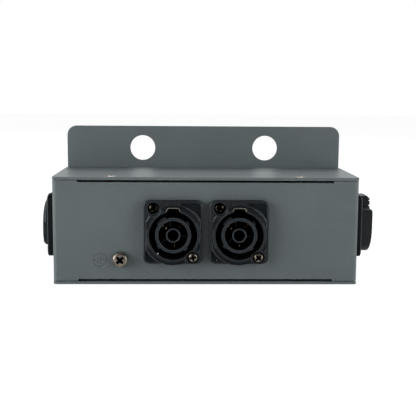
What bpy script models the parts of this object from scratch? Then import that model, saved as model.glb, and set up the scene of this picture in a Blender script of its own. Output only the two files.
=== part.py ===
"""Power distribution box with three locking outlets, one inlet and an upright hanging plate.

Metres, +Z up. The front faces -Y, and the origin is the centre of the box's underside.
"""
import math

import bmesh
import bpy
from mathutils import Matrix, Vector
from mathutils.geometry import interpolate_bezier, tessellate_polygon

for old in list(bpy.data.objects):
    bpy.data.objects.remove(old, do_unlink=True)

# Fits
SEAT_GAP = 0.0003
HOLE_CLEARANCE = 0.0003
THREAD_CLEARANCE = 0.0001
HEAD_SINK = 0.0001

# Facets in a full circle
WIDE_STEPS = 36
MIDDLE_STEPS = 26
SMALL_STEPS = 14
SHAFT_STEPS = 8

# Sheet-metal box
BOX_WIDTH = 0.1482
BOX_DEPTH = 0.0545
BOX_HEIGHT = 0.0525
SHEET = 0.0012
CORNER_BEND = 0.0021
COVER_BEND = 0.0022
COVER_CORNER = 0.0015
COVER_SEAM = 0.0004
FLANGE_GAP = 0.0005
FLANGE_BEND = 0.0019
FLANGE_INSET = 0.0123
FLANGE_DEPTH = 0.011
RELIEF_WIDTH = 0.0012
RELIEF_DEPTH = 0.0004
REAR_FLANGE = 0.013
REAR_TRIM = 0.0015

# Upright hanging plate
PLATE_THICKNESS = 0.0015
PLATE_HEIGHT = 0.0747
PLATE_TRIM = 0.0004
PLATE_CORNER = 0.005
HANGING_HOLE_RADIUS = 0.0067
HANGING_HOLE_SPACING = 0.0662
HANGING_HOLE_DROP = 0.0117

# Connectors: flange, collar and the body behind the panel
CONNECTOR_HEIGHT = 0.026
OUTLET_PITCH = 0.0317
FLANGE_WIDTH = 0.0287
FLANGE_TALL = 0.0307
FLANGE_LIFT = 0.0004
FLANGE_CORNER = 0.0029
FLANGE_THICKNESS = 0.003
FLANGE_EDGE = 0.0006
GASKET_THICKNESS = 0.001
OUTLET_COLLAR_RADIUS = 0.0146
INLET_COLLAR_RADIUS = 0.013
COLLAR_FLAT = 0.013
COLLAR_DROP = 0.0009
COLLAR_SLOPE = 0.0012
COLLAR_BAND = 0.0012
INLET_COLLAR_EDGE = 0.0007
INLET_COLLAR_TOP = 0.0091
INLET_COLLAR_CORNER = 0.0015
OUTLET_COLLAR_RISE = 0.0023
INLET_COLLAR_RISE = 0.0056
OUTLET_BORE_RADIUS = 0.01165
INLET_BORE_RADIUS = 0.0096
BORE_RIM = 0.0008
BORE_TAPER_DEPTH = 0.0052
SHELL_RADIUS = 0.0118
SHELL_WALL = 0.0009
SHELL_DEPTH = 0.020
SCREW_MARGIN_X = 0.0097
SCREW_MARGIN_Z = 0.0067
RECESS_RADIUS = 0.0029
RECESS_DEPTH = 0.0021
SCALLOP_RADIUS = 0.0038
CORNER_POCKET_DEPTH = 0.0005
CORNER_POCKET_RIM = 0.0011
CORNER_POCKET_CORNER = 0.0018
CORNER_POCKET_GAP = 0.0006
BRIDGE_WIDTH = 0.0064
BRIDGE_TAPER = 0.00025
LATCH_BLOCK_WIDTH = 0.010
LATCH_BLOCK_CHAMFER = 0.0016
LATCH_BLOCK_RIB = 0.0025
GRIP_GROOVE = 0.0006
LATCH_WIDTH = 0.0065
LATCH_RISE = 0.00175
LATCH_BEND = 0.0006
LATCH_THICKNESS = 0.0004
LATCH_DEPTH = 0.0045

# Keyed barrel of an outlet, and the pin carrier of the inlet
BARREL_RADIUS = 0.0088
BARREL_WALL = 0.00185
BARREL_RECESS = 0.001
CENTRE_TUBE_RADIUS = 0.00345
CENTRE_TUBE_WALL = 0.00065
WEB_THICKNESS = 0.0006
WEB_SETBACK = 0.005
WEB_ANGLES = (107, -12, -142)
KEYS = ((113, 146), (33, 45), (-54, -42), (213, 225))
KEY_RISE = 0.0008
KEY_SETBACK = 0.0014
BASE_THICKNESS = 0.0032
KEYWAY_CLEARANCE = 0.0004
CENTRE_POST_RADIUS = 0.0024
PIN_RECESS = 0.0052

# Contacts and their push-on receptacles
CONTACT_THICKNESS = 0.0008
CONTACT_RADIUS = 0.0052
FORK_WIDTH = 0.0027
FORK_GAP = 0.0011
FORK_RECESS = 0.0062
BLADE_WIDTH = 0.0034
TAB_WIDTH = 0.0048
TAB_LENGTH = 0.0078
TAB_CHAMFER = 0.001
RECEPTACLE_WIDTH = 0.0064
RECEPTACLE_THICKNESS = 0.0026
RECEPTACLE_LENGTH = 0.0125

# Fasteners
FLANGE_SCREW_RADIUS = 0.00145
FLANGE_SCREW_LENGTH = 0.0105
FLANGE_SCREW_HEAD = 0.0025
FLANGE_SCREW_HEAD_HEIGHT = 0.0019
COVER_SCREW_RADIUS = 0.00145
COVER_SCREW_HEAD = 0.0025
COVER_SCREW_LENGTH = 0.0065
COVER_SCREW_SPACING = 0.0922
COVER_SCREW_SETBACK = 0.0052
PRESS_NUT_RADIUS = 0.0028
PRESS_NUT_HEIGHT = 0.002
PLATE_SCREW_INSET = 0.0075
PLATE_SCREW_RISE = 0.0095

# Earth terminal
EARTH_X = -0.0415
EARTH_Z = 0.0126
EARTH_SCREW_RADIUS = 0.0019
EARTH_SCREW_LENGTH = 0.014
EARTH_HEAD_RADIUS = 0.00365
EARTH_HEAD_HEIGHT = 0.0024
EARTH_WASHER_THICKNESS = 0.0008
EARTH_NUT_FLATS = 0.007
EARTH_NUT_HEIGHT = 0.0032
CROSS_CUT = 0.0011
CROSS_DEPTH = 0.0015
CROSS_MARGIN = 0.0014
RING_THICKNESS = 0.0008
RING_RADIUS = 0.0037
RING_TONGUE = 0.0082
RING_SPLAY = 20

# Wires: the layers behind the connectors, and how far one passes over or under another
WIRE_RADIUS = 0.0014
WIRE_STEPS = 9
WIRE_SINK = 0.0016
WIRE_SPREAD = 0.0016
WIRE_WALL_GAP = 0.003
WIRE_LAYER = 0.0015
WIRE_TURN = 0.012
SWING_SHARE = 0.8
CROSSING_RISE = 0.014
NEUTRAL_RISE = 0.009
EARTH_DIP = 0.004
CHANNEL_GAP = 0.0006
CHANNEL_DROP = 0.011
RING_TURN = 0.005

FRONT_Y = -BOX_DEPTH / 2
REAR_Y = BOX_DEPTH / 2
PLATE_Y = REAR_Y + SEAT_GAP
GASKET_BACK = SEAT_GAP
FLANGE_BACK = GASKET_BACK + GASKET_THICKNESS + SEAT_GAP
FLANGE_FACE = FLANGE_BACK + FLANGE_THICKNESS
OUTLET_FACE = FLANGE_FACE + OUTLET_COLLAR_RISE
INLET_FACE = FLANGE_FACE + INLET_COLLAR_RISE
SHELL_BORE = SHELL_RADIUS - SHELL_WALL
BARREL_BACK = -SHELL_DEPTH + SEAT_GAP
BARREL_FLOOR = BARREL_BACK + BASE_THICKNESS
BARREL_FRONT = OUTLET_FACE - BARREL_RECESS
PIN_TIP = INLET_FACE - PIN_RECESS
RECEPTACLE_FRONT = -SHELL_DEPTH - 3 * SEAT_GAP
RECEPTACLE_END = RECEPTACLE_FRONT - RECEPTACLE_LENGTH
OVERLAP = 0.001
THROUGH = SHELL_DEPTH + INLET_FACE
DRILL_REACH = 0.009
CONTACT_ANGLES = {"line": 145, "neutral": 45, "earth": -85}
FLANGE_SCREW_X = (FLANGE_WIDTH - SCREW_MARGIN_X) / 2
FLANGE_SCREW_Z = (FLANGE_TALL - SCREW_MARGIN_Z) / 2
FLANGE_SCREW_SPOTS = ((-FLANGE_SCREW_X, FLANGE_SCREW_Z), (FLANGE_SCREW_X, -FLANGE_SCREW_Z))


# Colours and surfaces
def surface(name, colour, roughness, metallic=0.0):
    """A Principled material."""
    made = bpy.data.materials.new(name)
    made.use_nodes = True
    shader = made.node_tree.nodes["Principled BSDF"]
    shader.inputs["Base Color"].default_value = (*colour, 1.0)
    shader.inputs["Roughness"].default_value = roughness
    shader.inputs["Metallic"].default_value = metallic
    return made


POWDER_COAT = surface("powder coated steel", (0.12, 0.145, 0.148), 0.5)
BLACK_NYLON = surface("black nylon", (0.015, 0.017, 0.020), 0.45)
GASKET_RUBBER = surface("gasket rubber", (0.010, 0.010, 0.011), 0.8)
GOLD_PLATE = surface("gold plated contact", (0.80, 0.58, 0.28), 0.25, 1.0)
NICKEL = surface("nickel plated steel", (0.42, 0.38, 0.34), 0.3, 1.0)
ZINC = surface("zinc plated steel", (0.60, 0.60, 0.58), 0.4, 1.0)
LINE_COVER = surface("brown wire cover", (0.12, 0.05, 0.02), 0.5)
NEUTRAL_COVER = surface("blue wire cover", (0.02, 0.10, 0.45), 0.5)
EARTH_COVER = surface("green and yellow wire cover", (0.25, 0.45, 0.04), 0.5)


# Outlines in a plane
def arc(radius, start, end, steps, centre=(0.0, 0.0)):
    """Points along an arc, both ends included; angles in degrees."""
    angles = [math.radians(start + (end - start) * i / steps) for i in range(steps + 1)]
    return [(centre[0] + radius * math.cos(a), centre[1] + radius * math.sin(a)) for a in angles]


def circle(radius, steps, centre=(0.0, 0.0), turn=0.0):
    """A closed round outline."""
    return arc(radius, turn, turn + 360 * (steps - 1) / steps, steps - 1, centre)


def rounded_rectangle(width, height, radius, steps=4, centre=(0.0, 0.0)):
    """A rectangle with four round corners."""
    outline = []
    for turn, side_x, side_y in ((0, 1, 1), (90, -1, 1), (180, -1, -1), (270, 1, -1)):
        corner = (centre[0] + side_x * (width / 2 - radius), centre[1] + side_y * (height / 2 - radius))
        outline += arc(radius, turn, turn + 90, steps, corner)
    return outline


def ring_sector(inner, outer, start, end, steps, centre=(0.0, 0.0)):
    """Part of a ring between two angles."""
    return arc(outer, start, end, steps, centre) + arc(inner, end, start, steps, centre)


def collar_outline(radius, steps=10):
    """An outlet collar's circle, clipped by two upright flats."""
    corner = math.degrees(math.acos(COLLAR_FLAT / OUTLET_COLLAR_RADIUS))
    angles = [corner + (180 - 2 * corner) * i / steps for i in range(steps + 1)]
    angles += [180 - corner + 2 * corner * i / 4 for i in range(1, 4)]
    angles += [180 + corner + (180 - 2 * corner) * i / steps for i in range(steps + 1)]
    angles += [-corner + 2 * corner * i / 4 for i in range(1, 4)]
    outline = []
    for degrees in angles:
        turn = math.radians(degrees)
        reach = min(radius, COLLAR_FLAT / max(abs(math.cos(turn)), OVERLAP))
        outline.append((reach * math.cos(turn), reach * math.sin(turn) - COLLAR_DROP))
    return outline


def arched_outline(inset):
    """The inlet collar's outline: round below, straight at its sides and top."""
    half = INLET_COLLAR_RADIUS - inset
    bend = INLET_COLLAR_CORNER
    top = INLET_COLLAR_TOP - inset - bend
    outline = arc(half, 180, 360, 16, (0, -COLLAR_DROP))
    return outline + arc(bend, 0, 90, 3, (half - bend, top)) + arc(bend, 90, 180, 3, (bend - half, top))


def about(point, turn):
    """A point turned about the origin by an angle in degrees."""
    a = math.radians(turn)
    return (point[0] * math.cos(a) - point[1] * math.sin(a), point[0] * math.sin(a) + point[1] * math.cos(a))


# Solids
def finished(bm, name):
    """A mesh with its faces pointing out."""
    bmesh.ops.recalc_face_normals(bm, faces=bm.faces)
    mesh = bpy.data.meshes.new(name)
    bm.to_mesh(mesh)
    bm.free()
    return mesh


def plate(outline, low, high, holes=()):
    """A flat piece between two heights, with holes right through it."""
    bm = bmesh.new()
    loops = [outline, *holes]
    rings = [[[bm.verts.new((x, y, z)) for x, y in loop] for loop in loops] for z in (low, high)]
    triangles = tessellate_polygon([[Vector((x, y, 0.0)) for x, y in loop] for loop in loops])
    for level in rings:
        corners = [v for ring in level for v in ring]
        for face in triangles if holes else [range(len(corners))]:
            bm.faces.new([corners[i] for i in face])
    for bottom, top in zip(*rings):
        for i in range(len(bottom)):
            j = (i + 1) % len(bottom)
            bm.faces.new((bottom[i], bottom[j], top[j], top[i]))
    return finished(bm, "plate")


def loft(sections):
    """A closed solid through outlines of as many points, each with its height."""
    bm = bmesh.new()
    rings = [[bm.verts.new((x, y, z)) for x, y in outline] for outline, z in sections]
    for lower, upper in zip(rings, rings[1:]):
        for i in range(len(lower)):
            j = (i + 1) % len(lower)
            bm.faces.new((lower[i], lower[j], upper[j], upper[i]))
    for ring in (rings[0], rings[-1]):
        bm.faces.new(ring)
    return finished(bm, "loft")


def turned(profile, steps=SMALL_STEPS, centre=(0.0, 0.0), hollow=False):
    """A solid of revolution about Z with flat ends, or a ring where the profile is closed."""
    bm = bmesh.new()
    rings = [[bm.verts.new((x, y, z)) for x, y in circle(radius, steps, centre)] for radius, z in profile]
    pairs = list(zip(rings, rings[1:])) + ([(rings[-1], rings[0])] if hollow else [])
    for a, b in pairs:
        for i in range(steps):
            j = (i + 1) % steps
            bm.faces.new((a[i], a[j], b[j], b[i]))
    if not hollow:
        bm.faces.new(rings[0])
        bm.faces.new(rings[-1])
    return finished(bm, "turned")


def moved(mesh, matrix):
    """A copy of a mesh, moved."""
    copy = mesh.copy()
    copy.transform(matrix)
    return copy


def carved(mesh, joined=(), cut=()):
    """A mesh with others joined to it, then others cut from it, by exact Booleans."""
    base = bpy.data.objects.new("base", mesh)
    bpy.context.scene.collection.objects.link(base)
    tools = []
    for operation, parts in (("UNION", joined), ("DIFFERENCE", cut)):
        for part in parts:
            tool = bpy.data.objects.new("cutter", part)
            tool.hide_render = True
            tool.display_type = "WIRE"
            bpy.context.scene.collection.objects.link(tool)
            tools.append(tool)
            boolean = base.modifiers.new(operation.lower(), "BOOLEAN")
            boolean.operation = operation
            boolean.solver = "EXACT"
            boolean.object = tool
    graph = bpy.context.evaluated_depsgraph_get()
    result = bpy.data.meshes.new_from_object(base.evaluated_get(graph))
    for used in (base, *tools):
        bpy.data.objects.remove(used, do_unlink=True)
    return result


def wire(route):
    """A round wire along a route."""
    curve = bpy.data.curves.new("wire", "CURVE")
    curve.dimensions = "3D"
    curve.bevel_depth = WIRE_RADIUS
    curve.bevel_resolution = 1
    curve.use_fill_caps = True
    spline = curve.splines.new("POLY")
    spline.points.add(len(route) - 1)
    for spot, point in zip(spline.points, route):
        spot.co = (*point, 1.0)
    line = bpy.data.objects.new("wire", curve)
    bpy.context.scene.collection.objects.link(line)
    mesh = bpy.data.meshes.new_from_object(line.evaluated_get(bpy.context.evaluated_depsgraph_get()))
    bpy.data.objects.remove(line, do_unlink=True)
    bm = bmesh.new()
    bm.from_mesh(mesh)
    bmesh.ops.remove_doubles(bm, verts=bm.verts, dist=0.00001)
    return finished(bm, "wire")


def outward_frame(x, y, z, outward):
    """A matrix whose +Z points out of the box and whose +Y points up."""
    out = Vector(outward)
    up = Vector((0, 0, 1))
    return Matrix.Translation((x, y, z)) @ Matrix((up.cross(out), up, out)).transposed().to_4x4()


def station(name, x, y, z, outward):
    """An empty that holds the pieces mounted at one place on a wall."""
    frame = bpy.data.objects.new(name, None)
    frame.matrix_world = outward_frame(x, y, z, outward)
    bpy.context.scene.collection.objects.link(frame)
    return frame


def piece(name, mesh, material, parent=None, smooth=40):
    """One named sub-part."""
    mesh.materials.clear()
    mesh.materials.append(material)
    mesh.shade_smooth()
    mesh.set_sharp_from_angle(angle=math.radians(smooth))
    made = bpy.data.objects.new(name, mesh)
    bpy.context.scene.collection.objects.link(made)
    made.parent = parent
    return made


# Bent sheet: an outer skin of shared polygons, thickened inwards
def folded(name, polygons, outward_face):
    """A bent sheet from the polygons of its outer skin; outward_face is a normal that the first one has."""
    bm = bmesh.new()
    for polygon in polygons:
        bm.faces.new([bm.verts.new(corner) for corner in polygon])
    bmesh.ops.remove_doubles(bm, verts=bm.verts, dist=0.00001)
    bm.faces.ensure_lookup_table()
    bmesh.ops.recalc_face_normals(bm, faces=bm.faces)
    if bm.faces[0].normal.dot(Vector(outward_face)) < 0:
        bmesh.ops.reverse_faces(bm, faces=bm.faces)
    skin = bpy.data.meshes.new(name)
    bm.to_mesh(skin)
    bm.free()
    base = bpy.data.objects.new(name, skin)
    bpy.context.scene.collection.objects.link(base)
    wall = base.modifiers.new("wall", "SOLIDIFY")
    wall.thickness = SHEET
    wall.offset = -1
    wall.use_even_offset = True
    result = bpy.data.meshes.new_from_object(base.evaluated_get(bpy.context.evaluated_depsgraph_get()))
    bpy.data.objects.remove(base, do_unlink=True)
    return result


def strips(line, low, high):
    """Quads that sweep a line of (first, second) points from one place to another along a third axis."""
    return [((*a, low), (*b, low), (*b, high), (*a, high)) for a, b in zip(line, line[1:])]


def drill(radius, matrix, length=DRILL_REACH, steps=SMALL_STEPS, centre=(0.0, 0.0)):
    """A round cutter, centred on a face."""
    return moved(turned([(radius, length), (radius, -length)], steps, centre), matrix)


def countersink(head, shaft, depth, matrix):
    """A cutter for a countersunk screw whose head is level with a face."""
    wide = head + HOLE_CLEARANCE
    narrow = shaft + HOLE_CLEARANCE
    profile = [(wide, OVERLAP), (wide, 0), (narrow, -depth), (narrow, -DRILL_REACH)]
    return moved(turned(profile), matrix)


def countersunk_screw(head, shaft, length):
    """A countersunk screw whose head sits just under Z = 0."""
    cone = head - shaft
    sink = HEAD_SINK
    return turned([(head, -sink), (shaft, -cone - sink), (shaft, -length)])


def pan_screw(head, head_height, shaft, length, steps=SMALL_STEPS):
    """A pan-head screw, its head's underside at Z = 0."""
    profile = [(head * 0.4, head_height), (head * 0.8, head_height * 0.8), (head, head_height * 0.3)]
    profile += [(head, 0), (shaft, 0), (shaft, -length)]
    return turned(profile, steps)


def hexagon_nut(flats, height, bore):
    """A nut on Z, its seat at Z = 0."""
    across = flats / math.sqrt(3)
    return plate(circle(across, 6), -height, 0, [circle(bore, SMALL_STEPS)])


def press_nut(matrix):
    """A nut pressed into a sheet whose inner face is at Z = 0; its shank sits inside the sheet."""
    profile = [(PRESS_NUT_RADIUS, SHEET / 2), (PRESS_NUT_RADIUS, -PRESS_NUT_HEIGHT)]
    return moved(turned(profile, SHAFT_STEPS + 2), matrix)


# Places of the fasteners
COVER_SCREW_Y = FRONT_Y + COVER_SCREW_SETBACK
COVER_SCREW_SPOTS = [(side * COVER_SCREW_SPACING / 2, COVER_SCREW_Y) for side in (-1, 1)]
TOP_FACE = Matrix.Translation((0, 0, BOX_HEIGHT))
BOTTOM_FACE = Matrix.Rotation(math.pi, 4, "Y")
FRONT_FACE = outward_frame(0, FRONT_Y, 0, (0, -1, 0))
BACK_FACE = outward_frame(0, PLATE_Y + PLATE_THICKNESS, 0, (0, 1, 0))
PLATE_SCREW_X = BOX_WIDTH / 2 - PLATE_SCREW_INSET
PLATE_SCREW_HEIGHTS = (PLATE_SCREW_RISE, BOX_HEIGHT - PLATE_SCREW_RISE)
PLATE_SCREW_SPOTS = [(side * PLATE_SCREW_X, height) for side in (-1, 1) for height in PLATE_SCREW_HEIGHTS]

STATIONS = {
    name: station("station_" + name, x, y, CONNECTOR_HEIGHT, outward)
    for name, x, y, outward in (
        ("outlet_front_left", -OUTLET_PITCH / 2, FRONT_Y, (0, -1, 0)),
        ("outlet_front_right", OUTLET_PITCH / 2, FRONT_Y, (0, -1, 0)),
        ("outlet_side", -BOX_WIDTH / 2, 0, (-1, 0, 0)),
        ("inlet", BOX_WIDTH / 2, 0, (1, 0, 0)),
    )
}


def body_shell():
    """Front panel and side walls in one bent sheet, with flanges for the cover and the plate."""
    low = SHEET + COVER_SEAM
    high = BOX_HEIGHT - SHEET - COVER_SEAM
    edge = BOX_WIDTH / 2 - CORNER_BEND
    flange = BOX_WIDTH / 2 - FLANGE_INSET
    relief = flange + RELIEF_WIDTH
    flange_top = BOX_HEIGHT - SHEET - FLANGE_GAP
    flange_low = SHEET + FLANGE_GAP
    bend_high = flange_top - FLANGE_BEND
    bend_low = flange_low + FLANGE_BEND
    notch_high = bend_high - RELIEF_DEPTH
    notch_low = bend_low + RELIEF_DEPTH
    half = [(flange, bend_low), (flange, notch_low), (relief, notch_low), (relief, low), (edge, low)]
    half += [(edge, high), (relief, high), (relief, notch_high), (flange, notch_high), (flange, bend_high)]
    front = [(x, FRONT_Y, z) for x, z in half] + [(-x, FRONT_Y, z) for x, z in reversed(half)]
    polygons = [front]
    flange_end = FRONT_Y + FLANGE_DEPTH
    upper = arc(FLANGE_BEND, 180, 90, 5, (FRONT_Y + FLANGE_BEND, bend_high)) + [(flange_end, flange_top)]
    lower = arc(FLANGE_BEND, 180, 270, 5, (FRONT_Y + FLANGE_BEND, bend_low)) + [(flange_end, flange_low)]
    for line in (upper, lower):
        polygons += [[(x, y, z) for y, z, x in quad] for quad in strips(line, -flange, flange)]
    rear = REAR_Y - SHEET - SEAT_GAP
    rear_low = low + REAR_TRIM
    rear_high = high - REAR_TRIM
    bend_y = rear - CORNER_BEND
    for side in (-1, 1):
        corner = arc(CORNER_BEND, 270, 360, 5, (edge, FRONT_Y + CORNER_BEND))
        polygons += [[(side * x, y, z) for x, y, z in quad] for quad in strips(corner, low, high)]
        wall = [(FRONT_Y + CORNER_BEND, low), (bend_y - REAR_TRIM, low), (bend_y, rear_low)]
        wall += [(bend_y, rear_high), (bend_y - REAR_TRIM, high), (FRONT_Y + CORNER_BEND, high)]
        polygons.append([(side * BOX_WIDTH / 2, y, z) for y, z in wall])
        back = arc(CORNER_BEND, 0, 90, 5, (edge, bend_y)) + [(BOX_WIDTH / 2 - REAR_FLANGE, rear)]
        polygons += [[(side * x, y, z) for x, y, z in quad] for quad in strips(back, rear_low, rear_high)]
    cutters = []
    nuts = []
    shaft = COVER_SCREW_RADIUS + HOLE_CLEARANCE
    for frame in STATIONS.values():
        place = frame.matrix_world @ Matrix.Translation((0, -COLLAR_DROP, 0))
        cutters.append(drill(SHELL_RADIUS + HOLE_CLEARANCE, place, steps=WIDE_STEPS))
        for x, y in FLANGE_SCREW_SPOTS:
            nuts.append(press_nut(frame.matrix_world @ Matrix.Translation((x, y, -SHEET))))
            cutters.append(drill(shaft, frame.matrix_world, steps=SHAFT_STEPS, centre=(x, y)))
    cutters.append(drill(EARTH_SCREW_RADIUS + HOLE_CLEARANCE, FRONT_FACE, centre=(EARTH_X, EARTH_Z)))
    for face in (TOP_FACE, BOTTOM_FACE):
        for x, y in COVER_SCREW_SPOTS:
            nuts.append(press_nut(face @ Matrix.Translation((x, y, -2 * SHEET - FLANGE_GAP))))
            cutters.append(drill(shaft, face, steps=SHAFT_STEPS, centre=(x, y)))
    behind = -PLATE_THICKNESS - 2 * SEAT_GAP - 2 * SHEET
    for x, z in PLATE_SCREW_SPOTS:
        nuts.append(press_nut(BACK_FACE @ Matrix.Translation((-x, z, behind))))
        cutters.append(drill(shaft, BACK_FACE, steps=SHAFT_STEPS, centre=(-x, z)))
    return carved(folded("body_shell", polygons, (0, -1, 0)), joined=nuts, cut=cutters)


def cover():
    """Top, rear wall and bottom in one bent sheet that wraps the body."""
    bend = REAR_Y - COVER_BEND
    half = BOX_WIDTH / 2
    polygons = []
    for height, side in ((BOX_HEIGHT, 1), (0.0, -1)):
        corner = half - COVER_CORNER
        outline = arc(COVER_CORNER, 180, 270, 4, (-corner, FRONT_Y + COVER_CORNER))
        outline += arc(COVER_CORNER, 270, 360, 4, (corner, FRONT_Y + COVER_CORNER))
        outline += [(half, bend), (-half, bend)]
        polygons.append([(x, y, height) for x, y in outline])
        centre = (bend, height - side * COVER_BEND)
        line = arc(COVER_BEND, side * 90, 0, 5, centre)
        polygons += [[(x, y, z) for y, z, x in quad] for quad in strips(line, -half, half)]
    low, high = COVER_BEND, BOX_HEIGHT - COVER_BEND
    polygons.append([(-half, REAR_Y, low), (half, REAR_Y, low), (half, REAR_Y, high), (-half, REAR_Y, high)])
    cutters = []
    for face in (TOP_FACE, BOTTOM_FACE):
        depth = COVER_SCREW_HEAD - COVER_SCREW_RADIUS
        sink = countersink(COVER_SCREW_HEAD, COVER_SCREW_RADIUS, depth, Matrix())
        cutters += [moved(sink, face @ Matrix.Translation((x, y, 0))) for x, y in COVER_SCREW_SPOTS]
    shaft = COVER_SCREW_RADIUS + HOLE_CLEARANCE
    for x, z in PLATE_SCREW_SPOTS:
        cutters.append(drill(shaft, BACK_FACE, steps=SHAFT_STEPS, centre=(-x, z)))
    return carved(folded("cover", polygons, (0, 0, 1)), cut=cutters)


def hanging_plate():
    """The upright plate behind the cover, with its round holes above the box."""
    half = BOX_WIDTH / 2 - PLATE_TRIM
    foot = half - COVER_CORNER
    inner = half - PLATE_CORNER
    outline = arc(COVER_CORNER, 180, 270, 3, (-foot, COVER_CORNER))
    outline += arc(COVER_CORNER, 270, 360, 3, (foot, COVER_CORNER))
    outline += arc(PLATE_CORNER, 0, 90, 8, (inner, PLATE_HEIGHT - PLATE_CORNER))
    outline += arc(PLATE_CORNER, 90, 180, 8, (-inner, PLATE_HEIGHT - PLATE_CORNER))
    height = PLATE_HEIGHT - HANGING_HOLE_DROP
    depth = COVER_SCREW_HEAD - COVER_SCREW_RADIUS
    cutters = []
    for side in (-1, 1):
        place = Matrix.Translation((side * HANGING_HOLE_SPACING / 2, height, 0))
        cutters.append(drill(HANGING_HOLE_RADIUS, place, steps=WIDE_STEPS))
    for x, z in PLATE_SCREW_SPOTS:
        place = Matrix.Translation((-x, z, 0))
        cutters.append(countersink(COVER_SCREW_HEAD, COVER_SCREW_RADIUS, depth, place))
    return moved(carved(plate(outline, -PLATE_THICKNESS, 0), cut=cutters), BACK_FACE)


def flange_outline(inset):
    """The flange's outline, drawn in by an amount; its middle is a little above the screws' middle."""
    corner = FLANGE_CORNER - inset / 2
    return rounded_rectangle(FLANGE_WIDTH - 2 * inset, FLANGE_TALL - 2 * inset, corner, 4, (0, FLANGE_LIFT))


def sideways(outline, half_width):
    """A block across a connector, from its outline of (height, distance out) points."""
    turn = Matrix(((0, 0, 1, 0), (1, 0, 0, 0), (0, 1, 0, 0), (0, 0, 0, 1)))
    return moved(plate(outline, -half_width, half_width), turn)


def moulded(collar, bridge, bridge_side, bores):
    """A moulded housing: flange, collar, latch bridge and the tube behind the panel, with its bores."""
    slab = loft([
        (flange_outline(0), FLANGE_BACK),
        (flange_outline(0), FLANGE_FACE - FLANGE_EDGE),
        (flange_outline(FLANGE_EDGE * 0.3), FLANGE_FACE - FLANGE_EDGE * 0.3),
        (flange_outline(FLANGE_EDGE), FLANGE_FACE),
    ])
    tube_outline = circle(SHELL_RADIUS, WIDE_STEPS, (0, -COLLAR_DROP))
    behind = plate(tube_outline, -SHELL_DEPTH, FLANGE_BACK + OVERLAP)
    recess = turned([(RECESS_RADIUS, THROUGH), (RECESS_RADIUS, FLANGE_FACE - RECESS_DEPTH)], SMALL_STEPS + 4)
    cutters = []
    scallops = []
    for x, y in FLANGE_SCREW_SPOTS:
        place = Matrix.Translation((x, y, 0))
        scallops.append(drill(SCALLOP_RADIUS, place, THROUGH, MIDDLE_STEPS))
        cutters.append(moved(recess, place))
        cutters.append(drill(FLANGE_SCREW_RADIUS + HOLE_CLEARANCE, place, steps=SHAFT_STEPS))
    cutters += [corner_pocket(1, bridge_side), corner_pocket(-1, 0)]
    return carved(slab, joined=(behind, carved(collar, cut=scallops), bridge), cut=[*cutters, *bores])


def corner_pocket(sign, side):
    """A shallow cutter for one of the flange's free corners, outside the collar."""
    reach = FLANGE_WIDTH / 2 - CORNER_POCKET_RIM
    tall = FLANGE_TALL / 2 + sign * FLANGE_LIFT - CORNER_POCKET_RIM
    centre = (sign * (side + reach) / 2, sign * tall / 2)
    outline = rounded_rectangle(reach - side, tall, CORNER_POCKET_CORNER, 3, centre)
    block = plate(outline, FLANGE_FACE - CORNER_POCKET_DEPTH, FLANGE_FACE + OVERLAP)
    clear = circle(OUTLET_COLLAR_RADIUS + CORNER_POCKET_GAP, WIDE_STEPS, (0, -COLLAR_DROP))
    return carved(block, cut=[plate(clear, -THROUGH, THROUGH)])


def latch_slot(bore, face):
    """The cutter for the slot that the metal latch plate lines."""
    half = LATCH_WIDTH / 2 + HOLE_CLEARANCE
    top = bore + LATCH_RISE + HOLE_CLEARANCE - COLLAR_DROP
    low = bore - LATCH_RISE - COLLAR_DROP
    bend = LATCH_BEND
    outline = [(-half, low), (half, low), (half, top - bend), (half - bend, top), (-half + bend, top)]
    return plate([*outline, (-half, top - bend)], face - LATCH_DEPTH - SEAT_GAP, THROUGH)


def latch_plate(bore, face):
    """The U-shaped metal plate that a plug's latch catches."""
    half = LATCH_WIDTH / 2
    top = bore + LATCH_RISE - COLLAR_DROP
    foot = math.sqrt(bore * bore - half * half) - COLLAR_DROP
    t = LATCH_THICKNESS
    bend = LATCH_BEND
    outer = [(half, foot), *arc(bend, 0, 90, 3, (half - bend, top - bend))]
    outer += [*arc(bend, 90, 180, 3, (-half + bend, top - bend)), (-half, foot)]
    small = bend - t
    inner = [(-half + t, foot), *arc(small, 180, 90, 3, (-half + bend, top - bend))]
    inner += [*arc(small, 90, 0, 3, (half - bend, top - bend)), (half - t, foot)]
    return plate(outer + inner, face - LATCH_DEPTH, face - SEAT_GAP)


def outlet_housing():
    """Housing of a locking outlet: a sloped collar, clipped at both sides, with a tapered bore."""
    root = FLANGE_FACE - OVERLAP
    shoulder = OUTLET_FACE - COLLAR_SLOPE
    rim = OUTLET_BORE_RADIUS + COLLAR_BAND
    outlines = ((OUTLET_COLLAR_RADIUS, root), (OUTLET_COLLAR_RADIUS, shoulder), (rim, OUTLET_FACE))
    collar = loft([(collar_outline(radius), level) for radius, level in outlines])
    top = FLANGE_TALL / 2 + FLANGE_LIFT - FLANGE_EDGE
    inside = OUTLET_BORE_RADIUS - COLLAR_DROP + OVERLAP
    wide = BRIDGE_WIDTH / 2
    narrow = wide - BRIDGE_TAPER
    bridge = plate([(-wide, top), (-narrow, inside), (narrow, inside), (wide, top)], root, shoulder)
    profile = [(OUTLET_BORE_RADIUS, THROUGH), (OUTLET_BORE_RADIUS, OUTLET_FACE - BORE_RIM)]
    profile += [(SHELL_BORE, OUTLET_FACE - BORE_TAPER_DEPTH), (SHELL_BORE, -THROUGH)]
    bores = [turned(profile, WIDE_STEPS + 4, (0, -COLLAR_DROP)), latch_slot(OUTLET_BORE_RADIUS, OUTLET_FACE)]
    return moulded(collar, bridge, wide + CORNER_POCKET_GAP, bores)


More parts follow.
